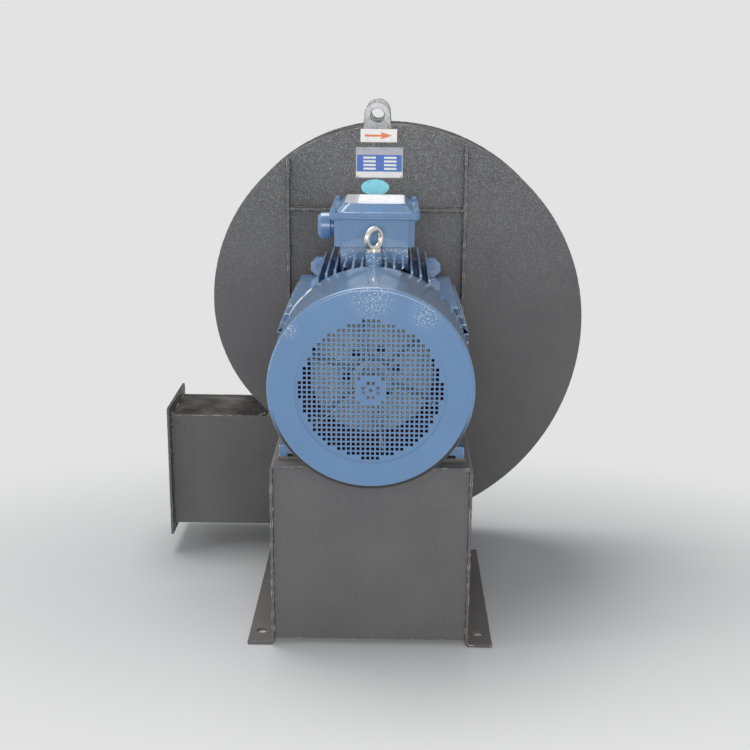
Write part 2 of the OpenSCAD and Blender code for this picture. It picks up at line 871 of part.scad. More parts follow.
module drive_end_shield() {
    color(motor_paint) on_axis(frame_y1) difference() {
        union() {
            shield_body();
            at_drive_ears() ear(rim_t);
        }
        translate([0, 0, -over]) at_drive_ears()
            cylinder(d = shield_bolt_d, h = rim_t + 2 * over);
    }
}

module fan_end_shield() {
    color(primer) fanwards(frame_y0) difference() {
        union() {
            shield_body();
            at_fan_ears() ear(fan_ear_t);
        }
        translate([0, 0, -over]) at_fan_ears()
            cylinder(d = shield_bolt_d, h = fan_ear_t + 2 * over);
        ring_of(4, fan_ear_r + ear_size / 2 + cowl_t - cowl_screw_l, 45)
            translate([0, 0, cowl_gap + dimple_inset]) rotate([0, 90, 0])
                cylinder(d = cowl_screw_d, h = cowl_screw_l);
    }
}

module drive_end_bolts() {
    color(zinc) on_axis(frame_y1 + rim_t) at_drive_ears()
        hex_bolt(shield_bolt_d, rim_t + ear_t - drive_bolt_sink);
}

module fan_end_bolts() {
    color(zinc) fanwards(frame_y0 - fan_ear_t) at_fan_ears()
        hex_bolt(shield_bolt_d, fan_ear_t + ear_t);
}

// Rubber lip ring in the drive end shield
module drive_end_seal() {
    color("black") on_axis(shoulder_y - shield_gap - bearing_cap_t)
        tube(seal_d, bearing_bore_d + 2 * run_gap, bearing_cap_t);
}

module stator_slots(w, depth) {
    ring_of(slot_n, 0) translate([core_bore_d / 2 - over, -w / 2]) square([depth + over, w]);
}

module stator_core() {
    color(steel) on_axis(core_y) linear_extrude(core_l) difference() {
        circle(d = core_d);
        circle(d = core_bore_d);
        stator_slots(slot_w, slot_depth);
    }
}

// Coils: bars in the slots and the bound overhang at both ends
module stator_windings() {
    coil_bore_d = core_bore_d + 2 * coil_gap;
    color("orange") on_axis(core_y) {
        translate([0, 0, -coil_l]) tube(coil_d_out, coil_bore_d, coil_l);
        translate([0, 0, core_l]) tube(coil_d_out, coil_bore_d, coil_l);
        linear_extrude(core_l) intersection() {
            stator_slots(slot_w, slot_depth);
            difference() {
                circle(d = core_d);
                circle(d = coil_bore_d);
            }
        }
    }
}

// The channel that the balls run in, as a ring of round section
module ball_channel() {
    translate([0, 0, bearing_w / 2]) rotate_extrude()
        translate([(bearing_d + bearing_bore_d) / 4, 0]) circle(d = ball_d + 2 * ball_gap);
}

module at_bearings() {
    for (y = [bearing_y0, bearing_y1]) on_axis(y) children();
}

module bearing_outer_rings() {
    color(steel) at_bearings() difference() {
        tube(bearing_d, bearing_d - 2 * race_wall, bearing_w);
        ball_channel();
    }
}

module bearing_inner_rings() {
    color(steel) at_bearings() difference() {
        tube(bearing_bore_d + 2 * race_wall, bearing_bore_d, bearing_w);
        ball_channel();
    }
}

module bearing_balls() {
    color(steel) at_bearings() translate([0, 0, bearing_w / 2])
        ring_of(ball_n, (bearing_d + bearing_bore_d) / 4) sphere(d = ball_d);
}

module bearing_cages() {
    pitch_d = (bearing_d + bearing_bore_d) / 2;
    color("gold") at_bearings() difference() {
        translate([0, 0, (bearing_w - cage_w) / 2]) tube(pitch_d + cage_t, pitch_d - cage_t, cage_w);
        translate([0, 0, bearing_w / 2]) ring_of(ball_n, pitch_d / 2 - cage_t) rotate([0, 90, 0])
            cylinder(d = ball_d + 2 * cage_gap, h = 2 * cage_t);
    }
}

// Outline of the rims of the box, its gasket and its cover
module box_rim() {
    chamfered(tbox_w + 2 * rim_reach, tbox_l + 2 * rim_reach, rim_chamfer);
}

// Places of the four cover screws, about the box's centre
module at_cover_screws(z) {
    for (x = [-1, 1], y = [-1, 1])
        translate([x * (tbox_w / 2 + rim_reach - screw_inset),
            y * (tbox_l / 2 + rim_reach - screw_inset), z]) children();
}

module terminal_box() {
    color(motor_paint) translate([0, tbox_y, tbox_z]) difference() {
        union() {
            linear_extrude(tbox_h) chamfered(tbox_w, tbox_l, tbox_chamfer);
            translate([0, 0, tbox_h - tbox_rim_t]) linear_extrude(tbox_rim_t) box_rim();
        }
        translate([0, 0, tbox_wall]) linear_extrude(tbox_h)
            chamfered(tbox_w - 2 * tbox_wall, tbox_l - 2 * tbox_wall, tbox_chamfer);
        translate([0, 0, -over]) linear_extrude(tbox_wall + 2 * over)
            square([neck_w - 4 * neck_wall, block_l / 2], center = true);
        at_cover_screws(tbox_h - tbox_rim_t - over)
            cylinder(d = cover_screw_d, h = tbox_rim_t + 2 * over);
        translate([-tbox_w / 2 - over, gland_y - tbox_y, tbox_h / 2 - gland_drop])
            rotate([0, 90, 0]) cylinder(d = gland_neck_d, h = tbox_wall + 2 * over);
    }
}

module terminal_box_gasket() {
    color("black") translate([0, tbox_y, tbox_z + tbox_h]) difference() {
        linear_extrude(gasket_t) difference() {
            box_rim();
            chamfered(tbox_w - 2 * tbox_wall, tbox_l - 2 * tbox_wall, tbox_chamfer);
        }
        at_cover_screws(-over) cylinder(d = cover_screw_d, h = gasket_t + 2 * over);
    }
}

// The cover's raised middle with its corners cut, drawn smaller by inset
module lid_form(inset, h) {
    w0 = lid_base_w - 2 * inset;
    l0 = lid_base_l - 2 * inset;
    w1 = lid_top_w - 2 * inset;
    l1 = lid_top_l - 2 * inset;
    c0 = (w0 + l0 - 2 * lid_corner) / sqrt(2);
    c1 = (w1 + l1 - 2 * lid_corner) / sqrt(2);
    intersection() {
        frustum(w0, l0, w1, l1, h);
        rotate(45) frustum(c0, c0, c1, c1, h);
    }
}

module terminal_box_cover() {
    color(motor_paint) translate([0, tbox_y, tbox_z + tbox_h + gasket_t]) difference() {
        union() {
            linear_extrude(lid_rim_t) box_rim();
            translate([0, 0, lid_rim_t]) lid_form(0, lid_rise);
            at_cover_screws(lid_rim_t) cylinder(d = lid_boss_d, h = lid_boss_h);
        }
        translate([0, 0, -over]) lid_form(lid_wall, lid_rise + lid_rim_t - lid_wall + over);
        at_cover_screws(-over)
            cylinder(d = cover_screw_d, h = lid_rim_t + lid_boss_h + 2 * over);
    }
}

module cover_screws() {
    color(zinc) translate([0, tbox_y, tbox_z + tbox_h + gasket_t + lid_rim_t])
        at_cover_screws(lid_boss_h)
            hex_bolt(cover_screw_d,
                lid_boss_h + lid_rim_t + gasket_t + tbox_rim_t + cover_screw_tail);
}

module terminal_block() {
    color("saddlebrown") translate([0, tbox_y, tbox_z + tbox_wall]) difference() {
        translate([-block_w / 2, -block_l / 2, 0]) cube([block_w, block_l, block_h]);
        at_studs(block_h - stud_h / 2) cylinder(d = stud_d, h = stud_h);
    }
}

// Two rows of three terminal studs
module at_studs(z) {
    for (x = [-1, 0, 1], y = [-1, 1]) translate([x * stud_x, y * stud_y / 2, z]) children();
}

module terminal_studs() {
    color("gold") translate([0, tbox_y, tbox_z + tbox_wall]) at_studs(block_h - stud_h / 2) {
        cylinder(d = stud_d, h = stud_h);
        translate([0, 0, stud_h / 2]) cylinder(d = head_af_share * stud_d / cos(30),
            h = nut_h_share * stud_d, $fn = 6);
    }
}

// Round-nosed nut, neck and thread of the cable gland
module cable_gland() {
    nose = gland_l / 4;
    color(motor_paint)
        translate([-tbox_w / 2, gland_y, tbox_z + tbox_h / 2 - gland_drop]) rotate([0, -90, 0])
            difference() {
                union() {
                    translate([0, 0, -tbox_wall]) cylinder(d = gland_neck_d, h = tbox_wall);
                    cylinder(d = gland_neck_d, h = gland_neck_l);
                    translate([0, 0, gland_neck_l]) cylinder(d = gland_d, h = gland_l - nose);
                    translate([0, 0, gland_neck_l + gland_l - nose])
                        cylinder(d1 = gland_d, d2 = gland_d - 2 * nose, h = nose);
                }
                translate([0, 0, -tbox_wall - over])
                    cylinder(d = gland_bore_d, h = tbox_wall + gland_neck_l + gland_l + 2 * over);
            }
}

module eye_bolt() {
    ring_r = (eye_ring_d - eye_wire_d) / 2;
    color(steel) translate([0, eye_y, eye_boss_z]) rotate(eye_turn) {
        translate([0, 0, eye_ring_gap + eye_ring_d / 2]) rotate([90, 0, 0])
            rotate_extrude() translate([ring_r, 0]) circle(d = eye_wire_d);
        cylinder(d = eye_collar_d, h = eye_collar_h);
        translate([0, 0, -eye_thread_l]) cylinder(d = eye_thread_d, h = eye_thread_l + over);
    }
}

// Solid of the cowl's outer form, drawn smaller by inset
module cowl_form(inset) {
    r = cowl_d / 2 - inset;
    e = cowl_edge_r - inset;
    rotate_extrude() {
        translate([0, inset + e]) square([r, cowl_l - e]);
        translate([0, inset]) square([r - e, e]);
        intersection() {
            translate([r - e, inset + e]) circle(e);
            square([r, cowl_l]);
        }
    }
}

module fan_cowl() {
    pad_r = cowl_d / 2 - dimple_sink;
    color(motor_paint) on_axis(cowl_y0) difference() {
        union() {
            difference() {
                cowl_form(0);
                cowl_form(cowl_t);
            }
            // Four pressed flats that seat on the fan end shield
            intersection() {
                ring_of(4, 0, 45) translate([0, 0, cowl_l - dimple_inset]) rotate([0, 90, 0])
                    translate([0, 0, pad_r - cowl_t]) cylinder(d = dimple_d, h = dimple_sink);
                cylinder(d = cowl_d, h = cowl_l);
            }
        }
        translate([0, 0, -over]) cylinder(d = cowl_opening_d, h = cowl_t + 2 * over);
        translate([0, 0, cowl_l]) cylinder(d = cowl_d + over, h = cowl_l);
        ring_of(4, 0, 45) translate([0, 0, cowl_l - dimple_inset]) rotate([0, 90, 0]) {
            translate([0, 0, pad_r]) cylinder(d = dimple_d - 2 * cowl_t, h = dimple_sink + over);
            translate([0, 0, pad_r - 2 * cowl_t]) cylinder(d = cowl_screw_d, h = 4 * cowl_t);
        }
    }
}

// Square holes on a lattice, inside a circle, with a plain patch at the centre
module grille_holes() {
    w = grille_hole / grille_pitch;
    lattice = [for (k = [0 : 2 * grille_n - 1]) k - grille_n + 0.5];
    for (i = lattice, j = lattice) {
        far = norm([abs(i) + w / 2, abs(j) + w / 2]);
        patch = max(abs(i), abs(j)) <= hole_gap_share;
        corner = min(abs(i), abs(j)) == hole_gap_share;
        cross = abs(i) + abs(j) == 2;
        if (far < grille_reach_share * grille_n && (!patch || corner || cross))
            translate([i, j] * grille_pitch) square(grille_hole, center = true);
    }
    square(grille_hole, center = true);
}

module cowl_grille() {
    color(motor_paint) upright(cowl_y0 + cowl_t, cowl_t) difference() {
        circle(d = cowl_opening_d + 2 * grille_seat);
        grille_holes();
    }
}

module cowl_screws() {
    color(zinc) on_axis(cowl_y1 - dimple_inset) ring_of(4, 0, 45)
        translate([cowl_d / 2 - dimple_sink, 0, 0]) rotate([0, 90, 0])
            hex_bolt(cowl_screw_d, cowl_screw_l);
}

module foot_bolts() {
    color(zinc) at_motor_bolts(pedestal_h + packing_t + motor_foot_t)
        hex_bolt(motor_bolt_d, motor_foot_t + packing_t + pedestal_t + motor_bolt_d * 1.5);
}

module foot_nuts() {
    color(zinc) at_motor_bolts(pedestal_h - pedestal_t) hex_nut(motor_bolt_d);
}

// Stepped shaft from its drive end to the cooling fan's seat
module shaft() {
    tail_y = fan_hub_y() - fan_hub_l - circlip_t - tail_l;
    key_y = shoulder_y + key_inset;
    color(steel) difference() {
        union() {
            on_axis(shoulder_y) cylinder(d = shaft_d, h = shaft_l);
            on_axis(tail_y) cylinder(d = fan_seat_d, h = shoulder_y - tail_y);
            on_axis(bearing_y0) cylinder(d = bearing_bore_d, h = shoulder_y - bearing_y0);
            on_axis(bearing_y0 + bearing_w)
                cylinder(d = shaft_body_d, h = bearing_y1 - bearing_y0 - bearing_w);
            on_axis(core_y) cylinder(d = rotor_bore_d, h = core_l);
        }
        translate([-key_w / 2, key_y, shaft_z + shaft_d / 2 - key_sink])
            cube([key_w, key_l, key_h]);
        on_axis(fan_hub_y() - fan_hub_l - circlip_t)
            tube(fan_seat_d + over, fan_seat_d - 2 * circlip_groove, circlip_t);
        on_axis(shoulder_y + shaft_l - hub_bolt_l) cylinder(d = hub_bolt_d, h = hub_bolt_l + over);
    }
}

// Inner end of the cooling fan's hub
function fan_hub_y() = frame_y0 - shield_depth - fan_hub_gap;

module rotor_core() {
    color("gray") on_axis(core_y) tube(rotor_d, rotor_bore_d, core_l);
}

// Cast end rings of the rotor, with their stirring vanes
module rotor_end_rings() {
    ring_d = rotor_d - 2 * coil_gap;
    mid_r = (ring_d + end_ring_bore_d) / 4;
    module one() {
        tube(ring_d, end_ring_bore_d, end_ring_l);
        translate([0, 0, end_ring_l]) ring_of(vane_n, mid_r)
            translate([-vane_l / 2, -vane_t / 2, 0]) cube([vane_l, vane_t, vane_l]);
    }
    color(zinc) {
        on_axis(core_y + core_l) one();
        fanwards(core_y) one();
    }
}

// Radial fan: hub, back disc and straight blades
module cooling_fan() {
    slope = fan_depth / 5;
    inner_r = (fan_seat_d + fan_hub_d) / 4;
    color("gainsboro") fanwards(fan_hub_y()) difference() {
        union() {
            cylinder(d = fan_hub_d, h = fan_hub_l);
            cylinder(d = fan_disc_d, h = fan_blade_t);
            ring_of(fan_blade_n, 0, fan_blade_turn) rotate([90, 0, 0])
                translate([0, 0, -fan_blade_t / 2])
                linear_extrude(fan_blade_t) polygon([[inner_r, fan_blade_t / 2],
                    [fan_disc_d / 2 - slope, fan_blade_t / 2], [fan_d / 2, slope],
                    [fan_d / 2, fan_depth], [inner_r, fan_depth - slope]]);
        }
        translate([0, 0, -over]) cylinder(d = fan_seat_d, h = fan_depth + 2 * over);
        translate([0, 0, -over]) ring_of(fan_blade_n, fan_vent_r, fan_blade_turn
            + 180 / fan_blade_n) cylinder(d = fan_vent_d, h = fan_blade_t + 2 * over);
    }
}

module fan_circlip() {
    color("darkslategray") fanwards(fan_hub_y() - fan_hub_l)
        tube(circlip_d, fan_seat_d - 2 * circlip_groove, circlip_t);
}

module shaft_key() {
    color(steel) translate([-key_w / 2, shoulder_y + key_inset, shaft_z + shaft_d / 2 - key_sink])
        cube([key_w, key_l, key_h]);
}

// Cast hub on the shaft end, with the flange that carries the back disc
module impeller_hub() {
    len = shaft_l + hub_cover;
    keyway_h = shaft_d / 2 - key_sink + key_h;
    color("darkslategray") difference() {
        union() {
            on_axis(shoulder_y) cylinder(d = hub_d, h = len);
            on_axis(impeller_y) cylinder(d = hub_flange_d, h = hub_flange_t);
        }
        on_axis(shoulder_y - over) cylinder(d = shaft_d, h = len + 2 * over);
        translate([-key_w / 2, shoulder_y - over, shaft_z])
            cube([key_w, len + 2 * over, keyway_h]);
        on_axis(impeller_y - over) ring_of(rivet_n, rivet_pcd / 2)
            cylinder(d = rivet_d, h = hub_flange_t + 2 * over);
    }
}

module impeller_back_plate() {
    color(casing_paint) on_axis(disc_y) difference() {
        tube(impeller_d, hub_d, disc_t);
        translate([0, 0, -over]) ring_of(rivet_n, rivet_pcd / 2)
            cylinder(d = rivet_d, h = disc_t + 2 * over);
    }
}

// Width of the impeller at radius r, between back disc and shroud
function blade_w(r) = impeller_b1 - (impeller_b1 - impeller_b2) * (r - eye_d / 2)
    / (impeller_d / 2 - eye_d / 2);

// Forward-curved blades of one arc each, trimmed to the cone of the shroud
module impeller_blades() {
    color(casing_paint) intersection() {
        upright(impeller_y, impeller_b1) for (i = [0 : blade_n - 1]) rotate(i * 360 / blade_n)
            intersection() {
                translate([blade_arc_centre_r, 0]) difference() {
                    circle(blade_arc_r + blade_t / 2);
                    circle(blade_arc_r - blade_t / 2);
                }
                square(impeller_d);
            }
        on_axis(impeller_y) rotate_extrude() polygon([[blade_inner_r, 0], [impeller_d / 2, 0],
            [impeller_d / 2, impeller_b2], [blade_inner_r, blade_w(blade_inner_r)]]);
    }
}

// Conical front disc with its collar round the eye
module impeller_shroud() {
    r0 = eye_d / 2;
    r1 = impeller_d / 2;
    color(casing_paint) on_axis(impeller_y) rotate_extrude() polygon([
        [r0, impeller_b1], [r1, impeller_b2], [r1, impeller_b2 + shroud_t],
        [r0 + shroud_t, impeller_b1 + shroud_t], [r0 + shroud_t, impeller_b1 + shroud_collar_l],
        [r0, impeller_b1 + shroud_collar_l]]);
}

module hub_rivets() {
    grip = disc_t + hub_flange_t;
    color(steel) on_axis(disc_y) ring_of(rivet_n, rivet_pcd / 2) {
        translate([0, 0, -rivet_head_h])
            cylinder(d1 = rivet_d, d2 = rivet_head_d, h = rivet_head_h);
        cylinder(d = rivet_d, h = grip);
        translate([0, 0, grip]) cylinder(d1 = rivet_head_d, d2 = rivet_d, h = rivet_head_h);
    }
}

module hub_washer() {
    color(zinc) on_axis(shoulder_y + shaft_l + hub_cover)
        tube(hub_washer_d, hub_bolt_d, hub_washer_t);
}

module hub_bolt() {
    color(zinc) on_axis(shoulder_y + shaft_l + hub_cover + hub_washer_t)
        hex_bolt(hub_bolt_d, hub_washer_t + hub_cover + hub_bolt_l - over);
}

pedestal_frame();
pedestal_front_plate();
packing_strips();
casing_motor_plate();
casing_inlet_plate();
scroll_wrap();
outlet_flange();
stiffener_left();
stiffener_right();
stiffener_cross();
lifting_lug_front();
lifting_lug_rear();
shaft_seal_plate();
seal_plate_screws();
inlet_cover();
inlet_cover_bolts();
inlet_cone();
inlet_pipe();
inlet_flange();
motor_frame();
drive_end_shield();
drive_end_bolts();
fan_end_shield();
fan_end_bolts();
stator_core();
stator_windings();
bearing_outer_rings();
terminal_box();
terminal_box_gasket();
terminal_box_cover();
cover_screws();
terminal_block();
terminal_studs();
cable_gland();
eye_bolt();
fan_cowl();
cowl_grille();
cowl_screws();
foot_bolts();
foot_nuts();
drive_end_seal();
shaft();
rotor_core();
rotor_end_rings();
bearing_inner_rings();
cooling_fan();
fan_circlip();
shaft_key();
impeller_hub();
impeller_back_plate();
impeller_blades();
impeller_shroud();
hub_rivets();
hub_washer();
hub_bolt();
bearing_balls();
bearing_cages();
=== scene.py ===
import math
import random

import bmesh
import bpy
from mathutils import Matrix, Vector, noise


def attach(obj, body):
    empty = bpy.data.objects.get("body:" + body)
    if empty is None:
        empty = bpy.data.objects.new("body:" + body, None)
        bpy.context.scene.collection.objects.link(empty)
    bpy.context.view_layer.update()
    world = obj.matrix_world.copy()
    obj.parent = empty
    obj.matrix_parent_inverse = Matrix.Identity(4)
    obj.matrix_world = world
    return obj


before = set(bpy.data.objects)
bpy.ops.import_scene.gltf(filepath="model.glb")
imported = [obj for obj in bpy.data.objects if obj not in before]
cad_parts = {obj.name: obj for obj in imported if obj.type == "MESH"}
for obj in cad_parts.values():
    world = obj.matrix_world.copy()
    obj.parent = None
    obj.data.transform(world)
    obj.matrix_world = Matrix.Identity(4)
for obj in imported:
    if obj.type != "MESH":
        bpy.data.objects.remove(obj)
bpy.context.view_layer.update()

# The camera stands 2.1 m in front of the blower on the fan's side, a metre up, and looks
# slightly down, as the photograph was taken. The lens is a short telephoto.
MM = 0.001
CAMERA_PLACE = Vector((30.3, -2128.8, 1025.2)) * MM
CAMERA_PITCH, CAMERA_YAW, CAMERA_ROLL = (math.radians(a) for a in (15.35, 0.75, 0.51))
CAMERA_LENS = 57.47

camera = bpy.data.objects.new("camera", bpy.data.cameras.new("camera"))
bpy.context.collection.objects.link(camera)
bpy.context.scene.camera = camera
camera.data.lens = CAMERA_LENS
camera.matrix_world = (
    Matrix.Translation(CAMERA_PLACE)
    @ Matrix.Rotation(CAMERA_YAW, 4, "Z")
    @ Matrix.Rotation(math.pi / 2 - CAMERA_PITCH, 4, "X")
    @ Matrix.Rotation(CAMERA_ROLL, 4, "Z")
)


# The studio: a pale floor that fades into a paler backdrop. Round the blower the floor is a
# darker grey, which paints shade there beside its real shadow. A large soft lamp hangs above
# and behind the blower, a wide one behind the camera lights its front, and a tall narrow one on
# the left draws the glints on rounded edges.
def srgb(code):
    """Linear RGBA of an sRGB hex colour."""
    parts = [int(code[i : i + 2], 16) / 255 for i in (1, 3, 5)]
    linear = [c / 12.92 if c <= 0.04045 else ((c + 0.055) / 1.055) ** 2.4 for c in parts]
    return (*linear, 1.0)


def wire(tree, source, socket):
    """Links an output, or a node's first working output, to a socket."""
    if isinstance(source, bpy.types.Node):
        source = next(output for output in source.outputs if output.enabled)
    tree.links.new(source, socket)


def add(tree, kind, inputs=(), **settings):
    """Adds a node. inputs maps a socket's name or number to its value, or to what feeds it."""
    node = tree.nodes.new("ShaderNode" + kind)
    for name, value in settings.items():
        setattr(node, name, value)
    for key, value in dict(inputs).items():
        if isinstance(key, int):
            socket = node.inputs[key]
        else:
            socket = next(s for s in node.inputs if s.enabled and s.name == key)
        if isinstance(value, (bpy.types.Node, bpy.types.NodeSocket)):
            wire(tree, value, socket)
        else:
            socket.default_value = value
    return node


BACKDROP = srgb("#e3e3e3")
AMBIENT = (0.72, 0.74, 0.77, 1.0)
AMBIENT_STRENGTH = 0.4

# The camera, metal and glass see the backdrop; everything else is lit by a dim, cool sky
world = bpy.data.worlds.new("studio")
bpy.context.scene.world = world
world.use_nodes = True
tree = world.node_tree
rays = add(tree, "LightPath")
seen = add(tree, "Math", {0: rays.outputs["Is Camera Ray"], 1: rays.outputs["Is Glossy Ray"]},
           operation="MAXIMUM")
seen = add(tree, "Math", {0: seen, 1: rays.outputs["Is Transmission Ray"]},
           operation="MAXIMUM")
ambient = add(tree, "Background", {"Color": AMBIENT, "Strength": AMBIENT_STRENGTH})
backdrop = add(tree, "Background", {"Color": BACKDROP})
sky = add(tree, "MixShader", {0: seen, 1: ambient, 2: backdrop})
wire(tree, sky, tree.nodes["World Output"].inputs["Surface"])

FLOOR_SIDE = 24.0
FLOOR_CUTS = 8
FLOOR_DROP = 0.5 * MM
# The floor turns into the backdrop between these distances, measured from a centre behind the
# middle, and sooner in front of the blower than at its sides, so that the painted shade lies
# mostly at the blower's sides
FADE_START, FADE_END = 0.3, 1.1
FADE_CENTRE = (0.0, 0.13, 0.0)
FADE_SPEED = (0.8, 1.4, 1.0)

floor_mesh = bmesh.new()
bmesh.ops.create_grid(floor_mesh, x_segments=FLOOR_CUTS, y_segments=FLOOR_CUTS,
                      size=FLOOR_SIDE / 2)
floor = bpy.data.objects.new("floor", bpy.data.meshes.new("floor"))
floor_mesh.to_mesh(floor.data)
floor_mesh.free()
floor.location.z = -FLOOR_DROP
bpy.context.collection.objects.link(floor)

# Studio paper: matt, a grey darker than the backdrop, which deepens the blower's real shadow
# with painted shade
paper = bpy.data.materials.new("studio_paper")
paper.use_nodes = True
tree = paper.node_tree
shader = tree.nodes["Principled BSDF"]
shader.inputs["Base Color"].default_value = srgb("#cbcbcb")
shader.inputs["Roughness"].default_value = 0.9
place = add(tree, "TexCoord").outputs["Object"]
moved = add(tree, "VectorMath", {0: place, 1: FADE_CENTRE}, operation="SUBTRACT")
oval = add(tree, "VectorMath", {0: moved, 1: FADE_SPEED}, operation="MULTIPLY")
away = add(tree, "VectorMath", {0: oval}, operation="LENGTH")
fade = add(tree, "MapRange", {"Value": away, "From Min": FADE_START, "From Max": FADE_END},
           interpolation_type="SMOOTHSTEP")
plain = add(tree, "Emission", {"Color": BACKDROP})
blend = add(tree, "MixShader", {0: fade, 1: shader, 2: plain})
wire(tree, blend, tree.nodes["Material Output"].inputs["Surface"])
floor.data.materials.append(paper)


def lamp(name, place, aim, size, watts):
    """A rectangular area lamp at place, turned towards aim; all in metres."""
    light = bpy.data.lights.new(name, "AREA")
    light.shape = "RECTANGLE"
    light.size, light.size_y = size
    light.energy = watts
    holder = bpy.data.objects.new(name, light)
    holder.location = place
    turn = (Vector(aim) - Vector(place)).to_track_quat("-Z", "Y")
    holder.rotation_euler = turn.to_euler()
    bpy.context.collection.objects.link(holder)


lamp("overhead", place=(-0.6, 1.0, 3.4), aim=(0, 0.05, 0.4), size=(2.4, 1.3), watts=72)
lamp("front_fill", place=(0.2, -4.2, 1.5), aim=(0, 0, 0.5), size=(2.6, 1.6), watts=74)
lamp("side_fill", place=(-3.2, -0.8, 1.2), aim=(0, 0, 0.5), size=(0.35, 2.0), watts=20)
bpy.context.scene.view_settings.view_transform = "Standard"


# The pedestal is bent from 5 mm steel plate and sprayed with dark grey enamel. The spray dries
# with a faint orange peel, and the paint is thin and rubbed pale along the plate's edges.
def material(name, colour, roughness, metallic=0.0, **sockets):
    """A material with its Principled shader; returns the material, its tree and the shader."""
    made = bpy.data.materials.new(name)
    made.use_nodes = True
    shader = made.node_tree.nodes["Principled BSDF"]
    shader.inputs["Base Color"].default_value = srgb(colour)
    shader.inputs["Roughness"].default_value = roughness
    shader.inputs["Metallic"].default_value = metallic
    for socket, value in sockets.items():
        shader.inputs[socket.replace("_", " ")].default_value = value
    return made, made.node_tree, shader


ENAMEL_ROUGHNESS = 0.52


def grey_enamel(name, dust, soil):
    """Sprayed grey enamel; dust is how much dust of the soil's colour lies on what faces up."""
    made, tree, shader = material(name, "#5f6064", ENAMEL_ROUGHNESS, Specular_IOR_Level=0.3)
    place = add(tree, "TexCoord").outputs["Object"]
    point = add(tree, "SeparateXYZ", {"Vector": place})
    facing = add(tree, "SeparateXYZ", {"Vector": add(tree, "NewGeometry").outputs["Normal"]})
    # Clouds of a hand's width, where the gun laid more or less paint
    cloud = add(tree, "TexNoise", {"Vector": place, "Scale": 1 / (110 * MM), "Detail": 3.0})
    tone = add(tree, "Mix", {"Factor": cloud, "A": srgb("#5a595a"), "B": srgb("#6c6b6b")},
               data_type="RGBA")
    # Pale grains are the dry overspray's grain painted bright as glints of grazing light, so
    # there are more of them towards the casing's top: 0.6 mm in truth, and drawn at 1.8 mm so
    # that they show
    grain = add(tree, "TexNoise", {"Vector": place, "Scale": 1 / (1.8 * MM), "Detail": 0.0})
    glint_grain = add(tree, "MapRange", {"Value": grain, "From Min": 0.52, "From Max": 0.72})
    # More painted glints high up, where the light grazes the casing
    thick = add(tree, "MapRange", {"Value": point.outputs["Z"], "From Min": 500 * MM,
                                   "From Max": 860 * MM, "To Min": 0.04, "To Max": 0.4})
    spot = add(tree, "Math", {0: glint_grain, 1: thick}, operation="MULTIPLY")
    with_glints = add(tree, "Mix", {"Factor": spot, "A": tone, "B": srgb("#c9cacf")},
                  data_type="RGBA")
    # Dust in patches of 60 mm on what faces up, dead matt
    patch = add(tree, "TexNoise", {"Vector": place, "Scale": 1 / (60 * MM), "Detail": 5.0})
    patchy = add(tree, "MapRange", {"Value": patch, "From Min": 0.3, "From Max": 0.7,
                                    "To Min": 0.2, "To Max": 1.0})
    lying = add(tree, "MapRange", {"Value": facing.outputs["Z"], "From Min": 0.7,
                                   "From Max": 0.95, "To Min": 0.0, "To Max": dust})
    cover = add(tree, "Math", {0: lying, 1: patchy}, operation="MULTIPLY", use_clamp=True)
    dusty = add(tree, "Mix", {"Factor": cover, "A": with_glints, "B": srgb(soil)},
                data_type="RGBA")
    wire(tree, dusty, shader.inputs["Base Color"])
    dull = add(tree, "MapRange", {"Value": cover, "From Min": 0.0, "From Max": 0.8,
                                  "To Min": ENAMEL_ROUGHNESS, "To Max": 1.0})
    wire(tree, dull, shader.inputs["Roughness"])
    # The orange peel: shallow dimples of 3 mm
    peel = add(tree, "TexNoise", {"Vector": place, "Scale": 1 / (3 * MM), "Detail": 1.0})
    bump = add(tree, "Bump", {"Height": peel, "Strength": 0.25, "Distance": 0.2 * MM})
    wire(tree, bump, shader.inputs["Normal"])
    return made


enamel = grey_enamel("grey_enamel", dust=0.45, soil="#7d756a")

# The same enamel on edges: rubbed through in dashes of 12 mm, where the pale steel shows
rubbed, tree, shader = material("rubbed_enamel", "#86827d", roughness=0.5)
place = add(tree, "TexCoord").outputs["Object"]
dash = add(tree, "TexNoise", {"Vector": place, "Scale": 1 / (12 * MM), "Detail": 4.0})
worn = add(tree, "MapRange", {"Value": dash, "From Min": 0.5, "From Max": 0.6})
tone = add(tree, "Mix", {"Factor": worn, "A": srgb("#57565a"), "B": srgb("#b8b1a8")},
           data_type="RGBA")
wire(tree, tone, shader.inputs["Base Color"])

# Points nearer than the gap become one, faces within the flat angle are joined, and edges
# sharper than the edge angle are rounded
POINT_GAP = 0.01 * MM
FLAT_ANGLE = math.radians(0.4)
EDGE_ANGLE = math.radians(32)
# The rounded strip takes the second material, and is shaded after the largest face beside it
EDGE_MATERIAL = 1
LARGE_FACES_RULE = 100


def dress(nodes, finish, edge=None, radius=0.6 * MM, segments=2, clamp=False):
    """Gives CAD nodes their finish, and rounds their edges by a real radius."""
    for name in nodes:
        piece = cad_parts[name]
        piece.data.materials.clear()
        piece.data.materials.append(finish)
        piece.data.materials.append(edge or finish)
        if not radius:
            continue
        if "custom_normal" in piece.data.attributes:
            piece.data.attributes.remove(piece.data.attributes["custom_normal"])
        piece.data.shade_smooth()
        weld = piece.modifiers.new("weld", "WELD")
        weld.merge_threshold = POINT_GAP
        flat = piece.modifiers.new("flat", "DECIMATE")
        flat.decimate_type = "DISSOLVE"
        flat.angle_limit = FLAT_ANGLE
        bevel = piece.modifiers.new("rounding", "BEVEL")
        bevel.width = radius
        bevel.segments = segments
        bevel.angle_limit = EDGE_ANGLE
        bevel.use_clamp_overlap = clamp
        bevel.material = EDGE_MATERIAL
        even = piece.modifiers.new("even_shading", "WEIGHTED_NORMAL")
        even.weight = LARGE_FACES_RULE


dress(["pedestal_frame", "pedestal_front_plate"], enamel, rubbed, radius=1.0 * MM)

